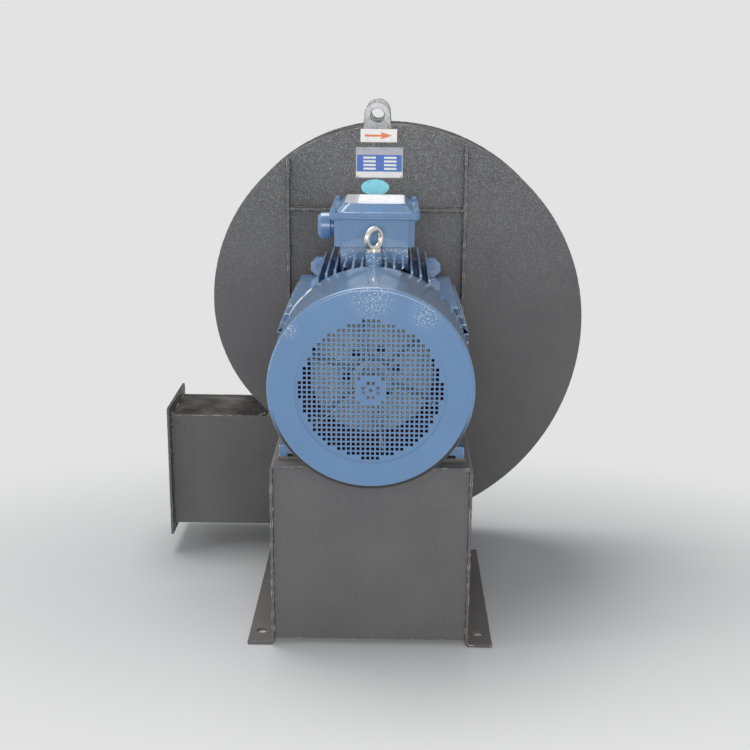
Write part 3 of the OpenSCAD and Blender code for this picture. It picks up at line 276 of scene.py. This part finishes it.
# The packing is two strips of flat steel between the motor's feet and the pedestal, painted
# with it. Rain that runs off the feet has left orange-brown rust along their edges.
rust, tree, shader = material("rusted_edge", "#8f5f38", roughness=0.8)
place = add(tree, "TexCoord").outputs["Object"]
flake = add(tree, "TexNoise", {"Vector": place, "Scale": 1 / (5 * MM), "Detail": 5.0})
scaled = add(tree, "MapRange", {"Value": flake, "From Min": 0.42, "From Max": 0.6})
tone = add(tree, "Mix", {"Factor": scaled, "A": srgb("#b3a48f"), "B": srgb("#93602f")},
           data_type="RGBA")
wire(tree, tone, shader.inputs["Base Color"])
dress(["packing_strips"], enamel, rust, radius=0.8 * MM)

# The casing is cut from 4 mm plate: two side plates with the wrapped plate welded between
# them, and a flange on the outlet. It has the same grey enamel, which is nearly all dark brown
# on the wrapped plate where it looks up.
brown_topped_enamel = grey_enamel("brown_topped_grey_enamel", dust=0.95, soil="#2a2118")
dress(["casing_motor_plate", "casing_inlet_plate"], enamel, rubbed)
dress(["scroll_wrap", "outlet_flange"], brown_topped_enamel, rubbed)

# Three flat bars on edge stiffen the casing on the motor's side. They are welded on and
# painted with it.
dress(["stiffener_left", "stiffener_right", "stiffener_cross"], enamel, rubbed,
      radius=0.8 * MM)

# The lugs are flame-cut from 8 mm plate and welded to the casing. Slings have rubbed their
# paint thin and bright round the hole, and it is smoother there.
slung, tree, shader = material("sling_rubbed_enamel", "#8b8c90", roughness=0.38)
place = add(tree, "TexCoord").outputs["Object"]
point = add(tree, "SeparateXYZ", {"Vector": place})
fleck = add(tree, "TexNoise", {"Vector": place, "Scale": 1 / (4 * MM), "Detail": 5.0})
high = add(tree, "MapRange", {"Value": point.outputs["Z"], "From Min": 865 * MM,
                              "From Max": 915 * MM, "To Min": -0.25, "To Max": 0.4})
thin = add(tree, "Math", {0: high, 1: fleck}, operation="ADD", use_clamp=True)
tone = add(tree, "Mix", {"Factor": thin, "A": srgb("#4c4c50"), "B": srgb("#dcdde0")},
           data_type="RGBA")
wire(tree, tone, shader.inputs["Base Color"])
dress(["lifting_lug_front", "lifting_lug_rear"], slung, rubbed, radius=1.0 * MM)

# Round plates close the casing: the seal plate behind the motor, and the bolted service cover
# with the inlet's rolled pipe and flange. A spun cone leads the air from the pipe inwards.
dress(["shaft_seal_plate", "inlet_cover", "inlet_pipe", "inlet_flange"], enamel, rubbed)
dress(["inlet_cone"], enamel, rubbed, radius=0.4 * MM)

# The impeller is welded from thin plate: a back plate, curved blades and a coned shroud. It is
# sprayed with the casing's enamel, and its edges are rubbed by what the air carries.
dress(["impeller_back_plate", "impeller_shroud", "impeller_blades"], enamel, rubbed,
      radius=0.4 * MM)


# The casing is welded by hand with a stick electrode. Each bead is a ripple of about 5 mm with
# stops and spatter, and it was painted with the rest, so it is glossy where the paint ran.
def new_piece(name, mesh, finish, rounding=0.0):
    """Turns a bmesh into a piece of the housing, with its finish."""
    bmesh.ops.recalc_face_normals(mesh, faces=mesh.faces)
    piece = bpy.data.objects.new(name, bpy.data.meshes.new(name))
    mesh.to_mesh(piece.data)
    mesh.free()
    bpy.context.collection.objects.link(piece)
    piece.data.materials.append(finish)
    piece.data.shade_smooth()
    if rounding:
        soft = piece.modifiers.new("rounding", "BEVEL")
        soft.width = rounding
        soft.segments = 2
        soft.angle_limit = EDGE_ANGLE
        soft.harden_normals = True
    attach(piece, "housing")


BEAD_SIDES = 9
BEAD_STEP = 1.6 * MM
BEAD_LEAST_STEPS = 5
BEAD_TAPER_STEPS = 2
BEAD_END_SHARE = 0.45
BEAD_SWELL = 0.45
# Bumps per metre: the ripple of each drop, and the finer crust on it, which is half as high
RIPPLE, CRUST = 210, 620
CRUST_SHARE = 0.5


def weld_bead(mesh, start, end, radius):
    """A bead between two points in mm: a tube whose radius ripples as the welder moved."""
    start, end, radius = Vector(start) * MM, Vector(end) * MM, radius * MM
    along = (end - start).normalized()
    side = along.orthogonal().normalized()
    up = along.cross(side)
    steps = max(BEAD_LEAST_STEPS, round((end - start).length / BEAD_STEP))
    rings = []
    for step in range(steps + 1):
        middle = start.lerp(end, step / steps)
        full = min(step, steps - step, BEAD_TAPER_STEPS) / BEAD_TAPER_STEPS
        ring = []
        for corner in range(BEAD_SIDES):
            angle = math.tau * corner / BEAD_SIDES
            out = side * math.cos(angle) + up * math.sin(angle)
            rough = (noise.noise((middle + out * radius) * RIPPLE)
                     + CRUST_SHARE * noise.noise(middle * CRUST))
            share = BEAD_END_SHARE + (1 - BEAD_END_SHARE) * full
            size = radius * share * (1 + BEAD_SWELL * rough)
            ring.append(mesh.verts.new(middle + out * size))
        rings.append(ring)
    for near, far in zip(rings, rings[1:]):
        for corner in range(BEAD_SIDES):
            turn = (corner + 1) % BEAD_SIDES
            mesh.faces.new([near[corner], near[turn], far[turn], far[corner]])
    mesh.faces.new(rings[0])
    mesh.faces.new(rings[-1])


SPATTER_RADII = (0.7, 1.5)


def weld_spatter(mesh, place, spread, count, seed):
    """Drops of metal that flew from the arc and stuck to the plate round a point in mm."""
    rng = random.Random(seed)
    for _ in range(count):
        x, z = (rng.gauss(0, spread) for _ in range(2))
        size = rng.uniform(*SPATTER_RADII) * MM
        spot = Matrix.Translation(Vector((place[0] + x, place[1], place[2] + z)) * MM)
        bmesh.ops.create_icosphere(mesh, subdivisions=2, radius=size, matrix=spot)


# Enamel that ran over the hot crust: darker and glossier than on the plate, with pale chips
# of 2.5 mm where the slag came off
weld_paint, tree, shader = material("painted_weld", "#4a4a4d", roughness=0.28,
                                    Coat_Weight=0.4, Coat_Roughness=0.1)
place = add(tree, "TexCoord").outputs["Object"]
crust = add(tree, "TexNoise", {"Vector": place, "Scale": 1 / (2.5 * MM), "Detail": 2.0})
bare = add(tree, "MapRange", {"Value": crust, "From Min": 0.56, "From Max": 0.7})
tone = add(tree, "Mix", {"Factor": bare, "A": srgb("#434347"), "B": srgb("#a9a49c")},
           data_type="RGBA")
wire(tree, tone, shader.inputs["Base Color"])

# In mm: the casing's face, the upright bars' two sides and their tops at the left and right.
# Each run on a bar starts and ends so far below its top.
PLATE_Y = 210
BAR_SIDES = (169, 174)
BAR_TOPS = ((-1, 812), (1, 840))
BAR_RUNS = ((40, 0), (190, 160), (330, 300))
# The cross bar is joined to the uprights down its ends and along its foot, and has two short
# runs between them. The lug has a run on each side and one under its foot.
CROSS_Z = 722
CROSS_FACE_Y, CROSS_TOE_Y, CROSS_RUN_X = 194, 207, 132
CROSS_SHORT_RUNS = ((-45, -12), (38, 62))
LUG_SIDE_X, LUG_SIDE_RUN = 29, (852, 872)
LUG_FOOT_X, LUG_FOOT_Z = 24, 850.3

welds = bmesh.new()
for sign, top in BAR_TOPS:
    for x in BAR_SIDES:
        for start, end in BAR_RUNS:
            weld_bead(welds, (sign * x, PLATE_Y, top - start), (sign * x, PLATE_Y, top - end),
                      radius=3.2)
for sign in (-1, 1):
    x = sign * BAR_SIDES[0]
    weld_bead(welds, (x, CROSS_FACE_Y, CROSS_Z), (x, PLATE_Y, CROSS_Z), radius=3.0)
    weld_bead(welds, (x, CROSS_TOE_Y, CROSS_Z), (sign * CROSS_RUN_X, PLATE_Y, CROSS_Z),
              radius=2.8)
for start, end in CROSS_SHORT_RUNS:
    weld_bead(welds, (start, PLATE_Y, CROSS_Z), (end, PLATE_Y, CROSS_Z), radius=2.6)
for x in (-LUG_SIDE_X, LUG_SIDE_X):
    weld_bead(welds, *((x, PLATE_Y, z) for z in LUG_SIDE_RUN), radius=2.4)
weld_bead(welds, *((x, PLATE_Y, LUG_FOOT_Z) for x in (-LUG_FOOT_X, LUG_FOOT_X)), radius=2.2)
new_piece("stiffener_welds", welds, weld_paint)

# The duct: runs up its front edge and back along its top edge beside the flange, one stop at
# the tongue, and spatter round the tongue, the flange and the bars' tops
FLANGE_X, DUCT_TOP_Z = -418, 290
DUCT_UP_RUNS = ((66, 96), (128, 162), (196, 226), (262, 290))
DUCT_BACK_RUNS = ((212, 236), (268, 300), (334, 360))
TONGUE_RUN = ((-238, 212, 291), (-222, 212, 300))
# Each spot's middle, how far its drops flew in mm, and how many there are
SPATTER_SPOTS = (((-236, PLATE_Y, 306), 7, 14), ((-404, PLATE_Y, 276), 8, 12),
                 ((-178, PLATE_Y, 800), 7, 12), ((180, PLATE_Y, 824), 7, 12))
FIRST_SEED = 3

duct_welds = bmesh.new()
for low, high in DUCT_UP_RUNS:
    weld_bead(duct_welds, (FLANGE_X, PLATE_Y, low), (FLANGE_X, PLATE_Y, high), radius=2.4)
for near, far in DUCT_BACK_RUNS:
    weld_bead(duct_welds, (FLANGE_X, near, DUCT_TOP_Z), (FLANGE_X, far, DUCT_TOP_Z),
              radius=2.4)
weld_bead(duct_welds, *TONGUE_RUN, radius=2.8)
for seed, (spot, spread, count) in enumerate(SPATTER_SPOTS, FIRST_SEED):
    weld_spatter(duct_welds, spot, spread, count, seed)
new_piece("duct_welds", duct_welds, weld_paint)

# The arrow plate is a white enamelled steel sheet on the front lug, with an orange arrow that
# shows which way the impeller turns. It stands 1.5 mm proud and bears nothing else.
FACE_OUT = Matrix.Rotation(math.pi / 2, 4, "X")


def rounded(width, height, corner, steps=5):
    """Outline of a rounded rectangle, in mm."""
    points = []
    for quarter in range(4):
        turn = math.pi / 2 * quarter
        x = (width / 2 - corner) * (1 if quarter in (0, 3) else -1)
        y = (height / 2 - corner) * (1 if quarter < 2 else -1)
        for step in range(steps + 1):
            angle = turn + math.pi / 2 * step / steps
            points.append((x + corner * math.cos(angle), y + corner * math.sin(angle)))
    return points


def slab(mesh, outline, centre, thick, turned=FACE_OUT):
    """A thin plate of an outline in mm, whose back lies at centre."""
    place = Matrix.Translation(Vector(centre) * MM) @ turned
    back, front = ([mesh.verts.new(place @ (Vector((x, y, z)) * MM)) for x, y in outline]
                   for z in (0, thick))
    mesh.faces.new(back)
    mesh.faces.new(front)
    for i, point in enumerate(back):
        j = (i + 1) % len(back)
        mesh.faces.new([point, back[j], front[j], front[i]])


def printed_sheet(name, colour, roughness=0.35):
    """Printed or enamelled sheet: an even colour, a little dirty in patches of 15 mm."""
    made, tree, shader = material(name, colour, roughness, Coat_Weight=0.3)
    place = add(tree, "TexCoord").outputs["Object"]
    dirt = add(tree, "TexNoise", {"Vector": place, "Scale": 1 / (15 * MM), "Detail": 4.0})
    soiled = add(tree, "MapRange", {"Value": dirt, "From Min": 0.5, "From Max": 0.8,
                                    "To Min": 0.0, "To Max": 0.35})
    tone = add(tree, "Mix", {"Factor": soiled, "A": srgb(colour), "B": srgb("#8d8678")},
               data_type="RGBA")
    wire(tree, tone, shader.inputs["Base Color"])
    return made


# Stove enamel is a warm white with a soft gloss, and the ink on it a dusty orange
white_sheet = printed_sheet("white_enamel_sheet", "#f6f4f0")
orange_ink = printed_sheet("orange_ink", "#e87b45")

ARROW_X, ARROW_Z = 3, 860.5
LUG_FACE_Y = 202
ARROW_OUTLINE = [(-27, -2), (6, -2), (3, -7), (26, 0), (3, 7), (6, 2), (-27, 2)]
# The ink's back lies 0.1 mm inside the sheet, so that no gap shows
ARROW_BACK_Y = LUG_FACE_Y - 1.4

sheet = bmesh.new()
slab(sheet, rounded(width=70, height=25, corner=1.5), (ARROW_X, LUG_FACE_Y, ARROW_Z),
     thick=1.5)
new_piece("arrow_plate", sheet, white_sheet, rounding=0.15 * MM)
sheet = bmesh.new()
slab(sheet, ARROW_OUTLINE, (ARROW_X, ARROW_BACK_Y, ARROW_Z), thick=0.25)
new_piece("arrow_mark", sheet, orange_ink, rounding=0.06 * MM)

# The rating plate is an aluminium sheet, 0.8 mm thick and printed silver. Its blue field has
# four rows of empty white boxes over a white strip, and four domed rivets hold it on the
# casing.
# Silver ink is a flat, cool grey, and the blue ink on it strong and even
silver_ink = printed_sheet("silver_ink", "#b4b4be")
blue_ink = printed_sheet("blue_ink", "#2f6cc4")
# Etched aluminium: a soft metal gleam, unevenly dull at a scale of 1.5 mm
bright_sheet, tree, shader = material("etched_aluminium", "#a9abb2", roughness=0.45,
                                      metallic=1.0)
place = add(tree, "TexCoord").outputs["Object"]
etching = add(tree, "TexNoise", {"Vector": place, "Scale": 1 / (1.5 * MM), "Detail": 2.0})
sheen = add(tree, "MapRange", {"Value": etching, "From Min": 0.3, "From Max": 0.7,
                               "To Min": 0.3, "To Max": 0.5})
wire(tree, sheen, shader.inputs["Roughness"])

# Each print's back lies a little inside what it is printed on, so that no gap shows
RATING_X, RATING_Z = 4.5, 808.5
FIELD_BACK_Y, FIELD_Z = PLATE_Y - 0.7, 802.5
BOX_BACK_Y, TOP_ROW_Z, ROW_PITCH, BOX_ROWS = PLATE_Y - 0.85, 818, 7, 4
BOX_COLUMNS = (-19, 21)
STRIP_Z = 786
RIVET_X, RIVET_Z, RIVET_R = 42, 26.5, 1.6
RIVET_BACK_Y = PLATE_Y - 0.8
# A rivet's head is a ball flattened to 0.6 of its height
RIVET_DOME = Matrix.Diagonal((1, 0.6, 1, 1))

sheet = bmesh.new()
slab(sheet, rounded(width=91, height=59, corner=2), (RATING_X, PLATE_Y, RATING_Z), thick=0.8)
new_piece("rating_plate", sheet, silver_ink, rounding=0.15 * MM)
sheet = bmesh.new()
slab(sheet, rounded(width=86, height=42, corner=1), (RATING_X, FIELD_BACK_Y, FIELD_Z),
     thick=0.2)
new_piece("rating_plate_field", sheet, blue_ink, rounding=0.05 * MM)
sheet = bmesh.new()
for row in range(BOX_ROWS):
    for x in BOX_COLUMNS:
        slab(sheet, rounded(width=24, height=4, corner=0.6),
             (RATING_X + x, BOX_BACK_Y, TOP_ROW_Z - ROW_PITCH * row), thick=0.15)
slab(sheet, rounded(width=90, height=11, corner=0.6), (RATING_X, BOX_BACK_Y, STRIP_Z),
     thick=0.15)
new_piece("rating_plate_blanks", sheet, white_sheet, rounding=0.05 * MM)
rivets = bmesh.new()
for x in (-RIVET_X, RIVET_X):
    for z in (-RIVET_Z, RIVET_Z):
        centre = Vector((RATING_X + x, RIVET_BACK_Y, RATING_Z + z)) * MM
        bmesh.ops.create_uvsphere(rivets, u_segments=12, v_segments=8, radius=RIVET_R * MM,
                                  matrix=Matrix.Translation(centre) @ RIVET_DOME)
new_piece("rating_plate_rivets", rivets, bright_sheet)

# The oval label is cyan vinyl film, 55 x 31 mm and bare, stuck on the casing above the
# terminal box. Film is duller than enamel.
cyan_vinyl = printed_sheet("cyan_vinyl", "#9af0ff", roughness=0.5)
OVAL_HALF_W, OVAL_HALF_H, OVAL_SIDES = 27.3, 15.5, 48
OVAL_AT = (-3.4, PLATE_Y, 761)

sheet = bmesh.new()
slab(sheet, [(OVAL_HALF_W * math.cos(math.tau * i / OVAL_SIDES),
              OVAL_HALF_H * math.sin(math.tau * i / OVAL_SIDES)) for i in range(OVAL_SIDES)],
     OVAL_AT, thick=0.3)
new_piece("oval_label", sheet, cyan_vinyl, rounding=0.08 * MM)

# The motor is a grey iron casting under blue gloss enamel. The paint flows over the casting's
# grain, so it is smooth and reflects clearly. White paint fell on it in drops from above, and
# dust dulls what faces up. Shade and a reflection of the grey casing are painted dark on the
# cowl's skirt, and shade is painted black in the cowl's lower lip.
AXIS_Z = 502
COWL_FACE_Y = -318

blue, tree, shader = material("blue_enamel", "#5f85af", roughness=0.3, Coat_Weight=0.55,
                              Coat_Roughness=0.05)
place = add(tree, "TexCoord").outputs["Object"]
point = add(tree, "SeparateXYZ", {"Vector": place})
facing = add(tree, "SeparateXYZ", {"Vector": add(tree, "NewGeometry").outputs["Normal"]})
cloud = add(tree, "TexNoise", {"Vector": place, "Scale": 1 / (70 * MM), "Detail": 3.0})
tone = add(tree, "Mix", {"Factor": cloud, "A": srgb("#597fa9"), "B": srgb("#658bb5")},
           data_type="RGBA")
# Grey-brown dust in patches of 25 mm on what faces up
patch = add(tree, "TexNoise", {"Vector": place, "Scale": 1 / (25 * MM), "Detail": 5.0})
upward = add(tree, "MapRange", {"Value": facing.outputs["Z"], "From Min": 0.6,
                                "From Max": 1.0})
patchy = add(tree, "MapRange", {"Value": patch, "From Min": 0.45, "From Max": 0.75,
                                "To Min": 0.0, "To Max": 0.55})
dust = add(tree, "Math", {0: upward, 1: patchy}, operation="MULTIPLY")
tone = add(tree, "Mix", {"Factor": dust, "A": tone, "B": srgb("#8f8c84")}, data_type="RGBA")
# Drops of white paint, 2 to 3 mm across, in clusters on the neck and on the fins' tips behind
# the cowl. Each row gives what is measured, where drops begin and where they lie in full.
cells = add(tree, "TexVoronoi", {"Vector": place, "Scale": 1 / (5.5 * MM)})
cluster = add(tree, "TexNoise", {"Vector": place, "Scale": 1 / (45 * MM)})
drops = add(tree, "MapRange", {"Value": cells, "From Min": 0.2, "From Max": 0.27,
                               "To Min": 1.0, "To Max": 0.0})
for value, none, full in ((cluster, 0.36, 0.48), (point.outputs["Z"], 640 * MM, 660 * MM),
                          (point.outputs["Z"], 692 * MM, 686 * MM),
                          (point.outputs["Y"], -155 * MM, -150 * MM)):
    mask = add(tree, "MapRange", {"Value": value, "From Min": none, "From Max": full})
    drops = add(tree, "Math", {0: drops, 1: mask}, operation="MULTIPLY")
tone = add(tree, "Mix", {"Factor": drops, "A": tone, "B": srgb("#e4e6e8")}, data_type="RGBA")
# Pale patches on the cowl's front: place and reach in mm. The first two are rubbed where
# cartons and hands touch it; the third, on the rolled rim at the upper left, is a painted
# highlight.
scratch = add(tree, "TexNoise", {"Vector": place, "Scale": 1 / (3 * MM), "Detail": 4.0})
fine = add(tree, "MapRange", {"Value": scratch, "From Min": 0.53, "From Max": 0.62,
                              "To Min": 0.0, "To Max": 0.7})
for x, z, reach in ((0, 655, 45), (85, 625, 30), (-130, 600, 20)):
    centre = Vector((x, COWL_FACE_Y, z)) * MM
    apart = add(tree, "VectorMath", {0: place, 1: centre}, operation="DISTANCE")
    near = add(tree, "MapRange", {"Value": apart, "From Min": reach * MM,
                                  "From Max": reach * MM / 3})
    rub_and_highlight = add(tree, "Math", {0: near, 1: fine}, operation="MULTIPLY")
    tone = add(tree, "Mix", {"Factor": rub_and_highlight, "A": tone, "B": srgb("#cfd9e6")},
               data_type="RGBA")
# Painted shade, and a painted reflection of the grey casing: a dark grey film on the cowl's
# skirt where it faces up, stronger towards its right and patchy. Each row gives what is
# measured, its two ends, and how much of the dark grey lies at each.
painted_skirt_shade = add(tree, "MapRange", {"Value": facing.outputs["Z"], "From Min": 0.15,
                              "From Max": 0.9})
for value, start, end, least, most in ((point.outputs["X"], -20 * MM, 80 * MM, 0.25, 0.6),
                                       (point.outputs["Y"], -306 * MM, -300 * MM, 0.0, 1.0),
                                       (point.outputs["Y"], -120 * MM, -125 * MM, 0.0, 1.0),
                                       (patch, 0.35, 0.6, 0.55, 1.0)):
    mask = add(tree, "MapRange", {"Value": value, "From Min": start, "From Max": end,
                                  "To Min": least, "To Max": most})
    painted_skirt_shade = add(tree, "Math", {0: painted_skirt_shade, 1: mask}, operation="MULTIPLY")
tone = add(tree, "Mix", {"Factor": painted_skirt_shade, "A": tone, "B": srgb("#454a52")}, data_type="RGBA")
# Painted shade: black in the cowl's lower lip, where its front is rolled into the skirt and
# faces down
above_axis = add(tree, "Math", {0: point.outputs["Z"], 1: AXIS_Z * MM}, operation="SUBTRACT")
spoke = add(tree, "CombineXYZ", {"X": point.outputs["X"], "Z": above_axis})
out = add(tree, "VectorMath", {0: spoke}, operation="LENGTH")
painted_lip_shade = add(tree, "MapRange", {"Value": out, "From Min": 158.8 * MM, "From Max": 159.6 * MM})
for value, none, full in ((point.outputs["Z"], 470 * MM, 420 * MM),
                          (point.outputs["Y"], -309 * MM, -311.5 * MM)):
    mask = add(tree, "MapRange", {"Value": value, "From Min": none, "From Max": full})
    painted_lip_shade = add(tree, "Math", {0: painted_lip_shade, 1: mask}, operation="MULTIPLY")
tone = add(tree, "Mix", {"Factor": painted_lip_shade, "A": tone, "B": srgb("#16160f")}, data_type="RGBA")
wire(tree, tone, shader.inputs["Base Color"])

# The same paint on sharp edges: thin and still glossy, pale in dashes of 6 mm that are partly
# chips and partly painted highlights
chipped_and_highlit_edge, tree, shader = material("chipped_highlit_blue_enamel", "#9db4cf", roughness=0.25,
                                   Coat_Weight=0.55, Coat_Roughness=0.05)
place = add(tree, "TexCoord").outputs["Object"]
chip = add(tree, "TexNoise", {"Vector": place, "Scale": 1 / (6 * MM), "Detail": 4.0})
chips_and_highlights = add(tree, "MapRange", {"Value": chip, "From Min": 0.46, "From Max": 0.58})
tone = add(tree, "Mix", {"Factor": chips_and_highlights, "A": srgb("#6e93bd"), "B": srgb("#e3eaf2")},
           data_type="RGBA")
wire(tree, tone, shader.inputs["Base Color"])

dress(["motor_frame"], blue, chipped_and_highlit_edge, radius=0.7 * MM)
dress(["drive_end_shield"], blue, radius=1.0 * MM)
dress(["terminal_box"], blue, radius=1.2 * MM, segments=3)
dress(["terminal_box_cover"], blue, chipped_and_highlit_edge, radius=0.5 * MM, clamp=True)
dress(["cable_gland"], blue, radius=0.8 * MM)
dress(["fan_cowl", "cowl_grille"], blue, radius=0)
dress(["cover_screws", "cowl_screws", "drive_end_bolts"], blue, radius=0.4 * MM)
# The sprayed enamel also covers the outer edge of the gasket under the lid
dress(["terminal_box_gasket"], blue, radius=0)

# The lid's label is white vinyl film, bare, with a grey end where its print wore off. It is
# stuck on the flat top of the terminal box's lid.
# White film is bright and half glossy, and its worn end grey and duller
white_vinyl = printed_sheet("white_vinyl", "#fcfcfc", roughness=0.45)
worn_vinyl = printed_sheet("worn_vinyl", "#b4b7bb", roughness=0.6)

LID_TOP_Z = 762.5
LABEL_AT = (11, 15, LID_TOP_Z)
WORN_END_AT = (-41.5, 15, LID_TOP_Z)
FACE_UP = Matrix.Identity(4)

sheet = bmesh.new()
slab(sheet, rounded(width=82, height=128, corner=4), LABEL_AT, thick=0.3, turned=FACE_UP)
new_piece("lid_label", sheet, white_vinyl, rounding=0.08 * MM)
sheet = bmesh.new()
slab(sheet, rounded(width=22, height=128, corner=4), WORN_END_AT, thick=0.3, turned=FACE_UP)
new_piece("lid_label_worn_end", sheet, worn_vinyl, rounding=0.08 * MM)

# A band of white vinyl film with a blue end is stuck round the cowl's rear edge, at its upper
# left. It is 22.5 mm wide and bare.
COWL_R = 165
BAND_T = 0.3
BAND_FRONT_Y, BAND_REAR_Y = -158, -135.5
BAND_STEPS = 24
# Where each film starts and ends, in degrees round the shaft from the machine's right
BAND_FILMS = (("cowl_band_white", white_vinyl, 129, 149),
              ("cowl_band_blue", blue_ink, 149, 153))

for name, finish, low, high in BAND_FILMS:
    band = bmesh.new()
    rings = []
    for step in range(BAND_STEPS + 1):
        angle = math.radians(low + (high - low) * step / BAND_STEPS)
        rings.append([
            band.verts.new(Vector((r * math.cos(angle), y, AXIS_Z + r * math.sin(angle))) * MM)
            for r, y in ((COWL_R, BAND_FRONT_Y), (COWL_R + BAND_T, BAND_FRONT_Y),
                         (COWL_R + BAND_T, BAND_REAR_Y), (COWL_R, BAND_REAR_Y))
        ])
    for near, far in zip(rings, rings[1:]):
        for k in range(4):
            band.faces.new([near[k], near[(k + 1) % 4], far[(k + 1) % 4], far[k]])
    band.faces.new(rings[0])
    band.faces.new(rings[-1])
    new_piece(name, band, finish)

# The fan end shield is sand-cast iron behind the cowl. It has only iron-oxide primer, which is
# dull, rough and dark red through the grille.
# The gloss strays from its middle by this share. A wave texture whose scale is 1 has a ring
# every 0.314 m.
MOTTLE = 0.2
WAVE_LENGTH = 0.314


def mottled(name, dark, pale, roughness, metallic, grain, depth=0.05, rings=None):
    """A finish whose tone, gloss and height vary by a grain in mm. rings is the pitch and the
    depth in mm of fine rings along the shaft, as a lathe tool or a wound wire leaves them."""
    made, tree, shader = material(name, pale, roughness, metallic)
    place = add(tree, "TexCoord").outputs["Object"]
    spread = add(tree, "TexNoise", {"Vector": place, "Scale": 1 / (grain * MM), "Detail": 4.0})
    amount = add(tree, "MapRange", {"Value": spread, "From Min": 0.35, "From Max": 0.65})
    tone = add(tree, "Mix", {"Factor": amount, "A": srgb(dark), "B": srgb(pale)},
               data_type="RGBA")
    wire(tree, tone, shader.inputs["Base Color"])
    rough = add(tree, "MapRange", {"Value": spread, "From Min": 0.3, "From Max": 0.7,
                                   "To Min": roughness * (1 - MOTTLE),
                                   "To Max": roughness * (1 + MOTTLE)})
    wire(tree, rough, shader.inputs["Roughness"])
    relief = add(tree, "Bump", {"Height": spread, "Strength": 0.4, "Distance": depth * MM})
    if rings:
        pitch, ring_depth = rings
        wave = add(tree, "TexWave", {"Vector": place, "Scale": WAVE_LENGTH / (pitch * MM)},
                   bands_direction="Y")
        relief = add(tree, "Bump", {"Height": wave.outputs["Fac"], "Strength": 0.5,
                                    "Distance": ring_depth * MM, "Normal": relief})
    wire(tree, relief, shader.inputs["Normal"])
    return made


primer = mottled("red_primer", "#5c1e18", "#8f2f26", roughness=0.75, metallic=0.0, grain=6,
                 depth=0.3)
dress(["fan_end_shield"], primer, radius=0)

# The eye bolt is forged, and the other bolts, screws and nuts are rolled and cut. All are
# steel with zinc plate: bright, with a faint yellow cast.
zinc = mottled("zinc_plate", "#c6c5bd", "#dcdbd5", roughness=0.26, metallic=1.0, grain=20)
dress(["eye_bolt"], zinc, radius=0.5 * MM)
dress(["foot_bolts", "foot_nuts", "fan_end_bolts", "seal_plate_screws", "inlet_cover_bolts",
       "hub_washer", "hub_bolt"], zinc, radius=0.4 * MM)

# The shaft and what sits on it are lathe-turned or ground steel, pressed or riveted in place.
# The tool leaves fine rings, drawn at 1.2 mm so that they show.
steel = mottled("turned_steel", "#8f8f8e", "#b4b4b2", roughness=0.35, metallic=1.0, grain=10,
                rings=(1.2, 0.05))
dress(["shaft", "shaft_key", "rotor_core", "stator_core", "bearing_outer_rings",
       "bearing_inner_rings", "bearing_balls", "hub_rivets", "fan_circlip"], steel, radius=0)

# The windings are varnished magnet wire, wound side by side 2 mm apart: ribbed, reddish brown
# and half glossy.
copper = mottled("varnished_copper", "#7d3f20", "#ad6436", roughness=0.35, metallic=1.0,
                 grain=8, rings=(2.0, 0.4))
dress(["stator_windings"], copper, radius=0)

# The bearings' cages and the terminals' studs are turned brass: yellow and lightly tarnished.
brass = mottled("brass", "#a98c48", "#cbb06a", roughness=0.3, metallic=1.0, grain=5)
dress(["bearing_cages", "terminal_studs"], brass, radius=0)

# The rotor's end rings are die-cast aluminium: pale and soft-looking, with the mould's skin.
alloy = mottled("cast_aluminium", "#a5a6a9", "#c4c5c8", roughness=0.5, metallic=1.0, grain=4,
                depth=0.15)
dress(["rotor_end_rings"], alloy, radius=0)

# The impeller's hub is grey iron with its casting skin, nearly black and grainy.
iron = mottled("cast_iron", "#3c3c3e", "#565658", roughness=0.65, metallic=1.0, grain=3,
               depth=0.25)
dress(["impeller_hub"], iron, radius=0.5 * MM)

# The shaft's seal is moulded nitrile rubber: black, with a dull bloom.
rubber = mottled("black_rubber", "#101010", "#202020", roughness=0.7, metallic=0.0, grain=3)
dress(["drive_end_seal"], rubber, radius=0)

# The terminal block is moulded phenolic: dark brown, hard and slightly glossy.
phenolic = mottled("brown_phenolic", "#2d180d", "#45281a", roughness=0.35, metallic=0.0,
                   grain=6)
dress(["terminal_block"], phenolic, radius=0.3 * MM)

# The cooling fan is moulded nylon, held by a circlip: pale grey and half matt, with a little
# dust.
nylon = mottled("grey_nylon", "#d3d5d1", "#eceeea", roughness=0.5, metallic=0.0, grain=30)
dress(["cooling_fan"], nylon, radius=0.4 * MM)
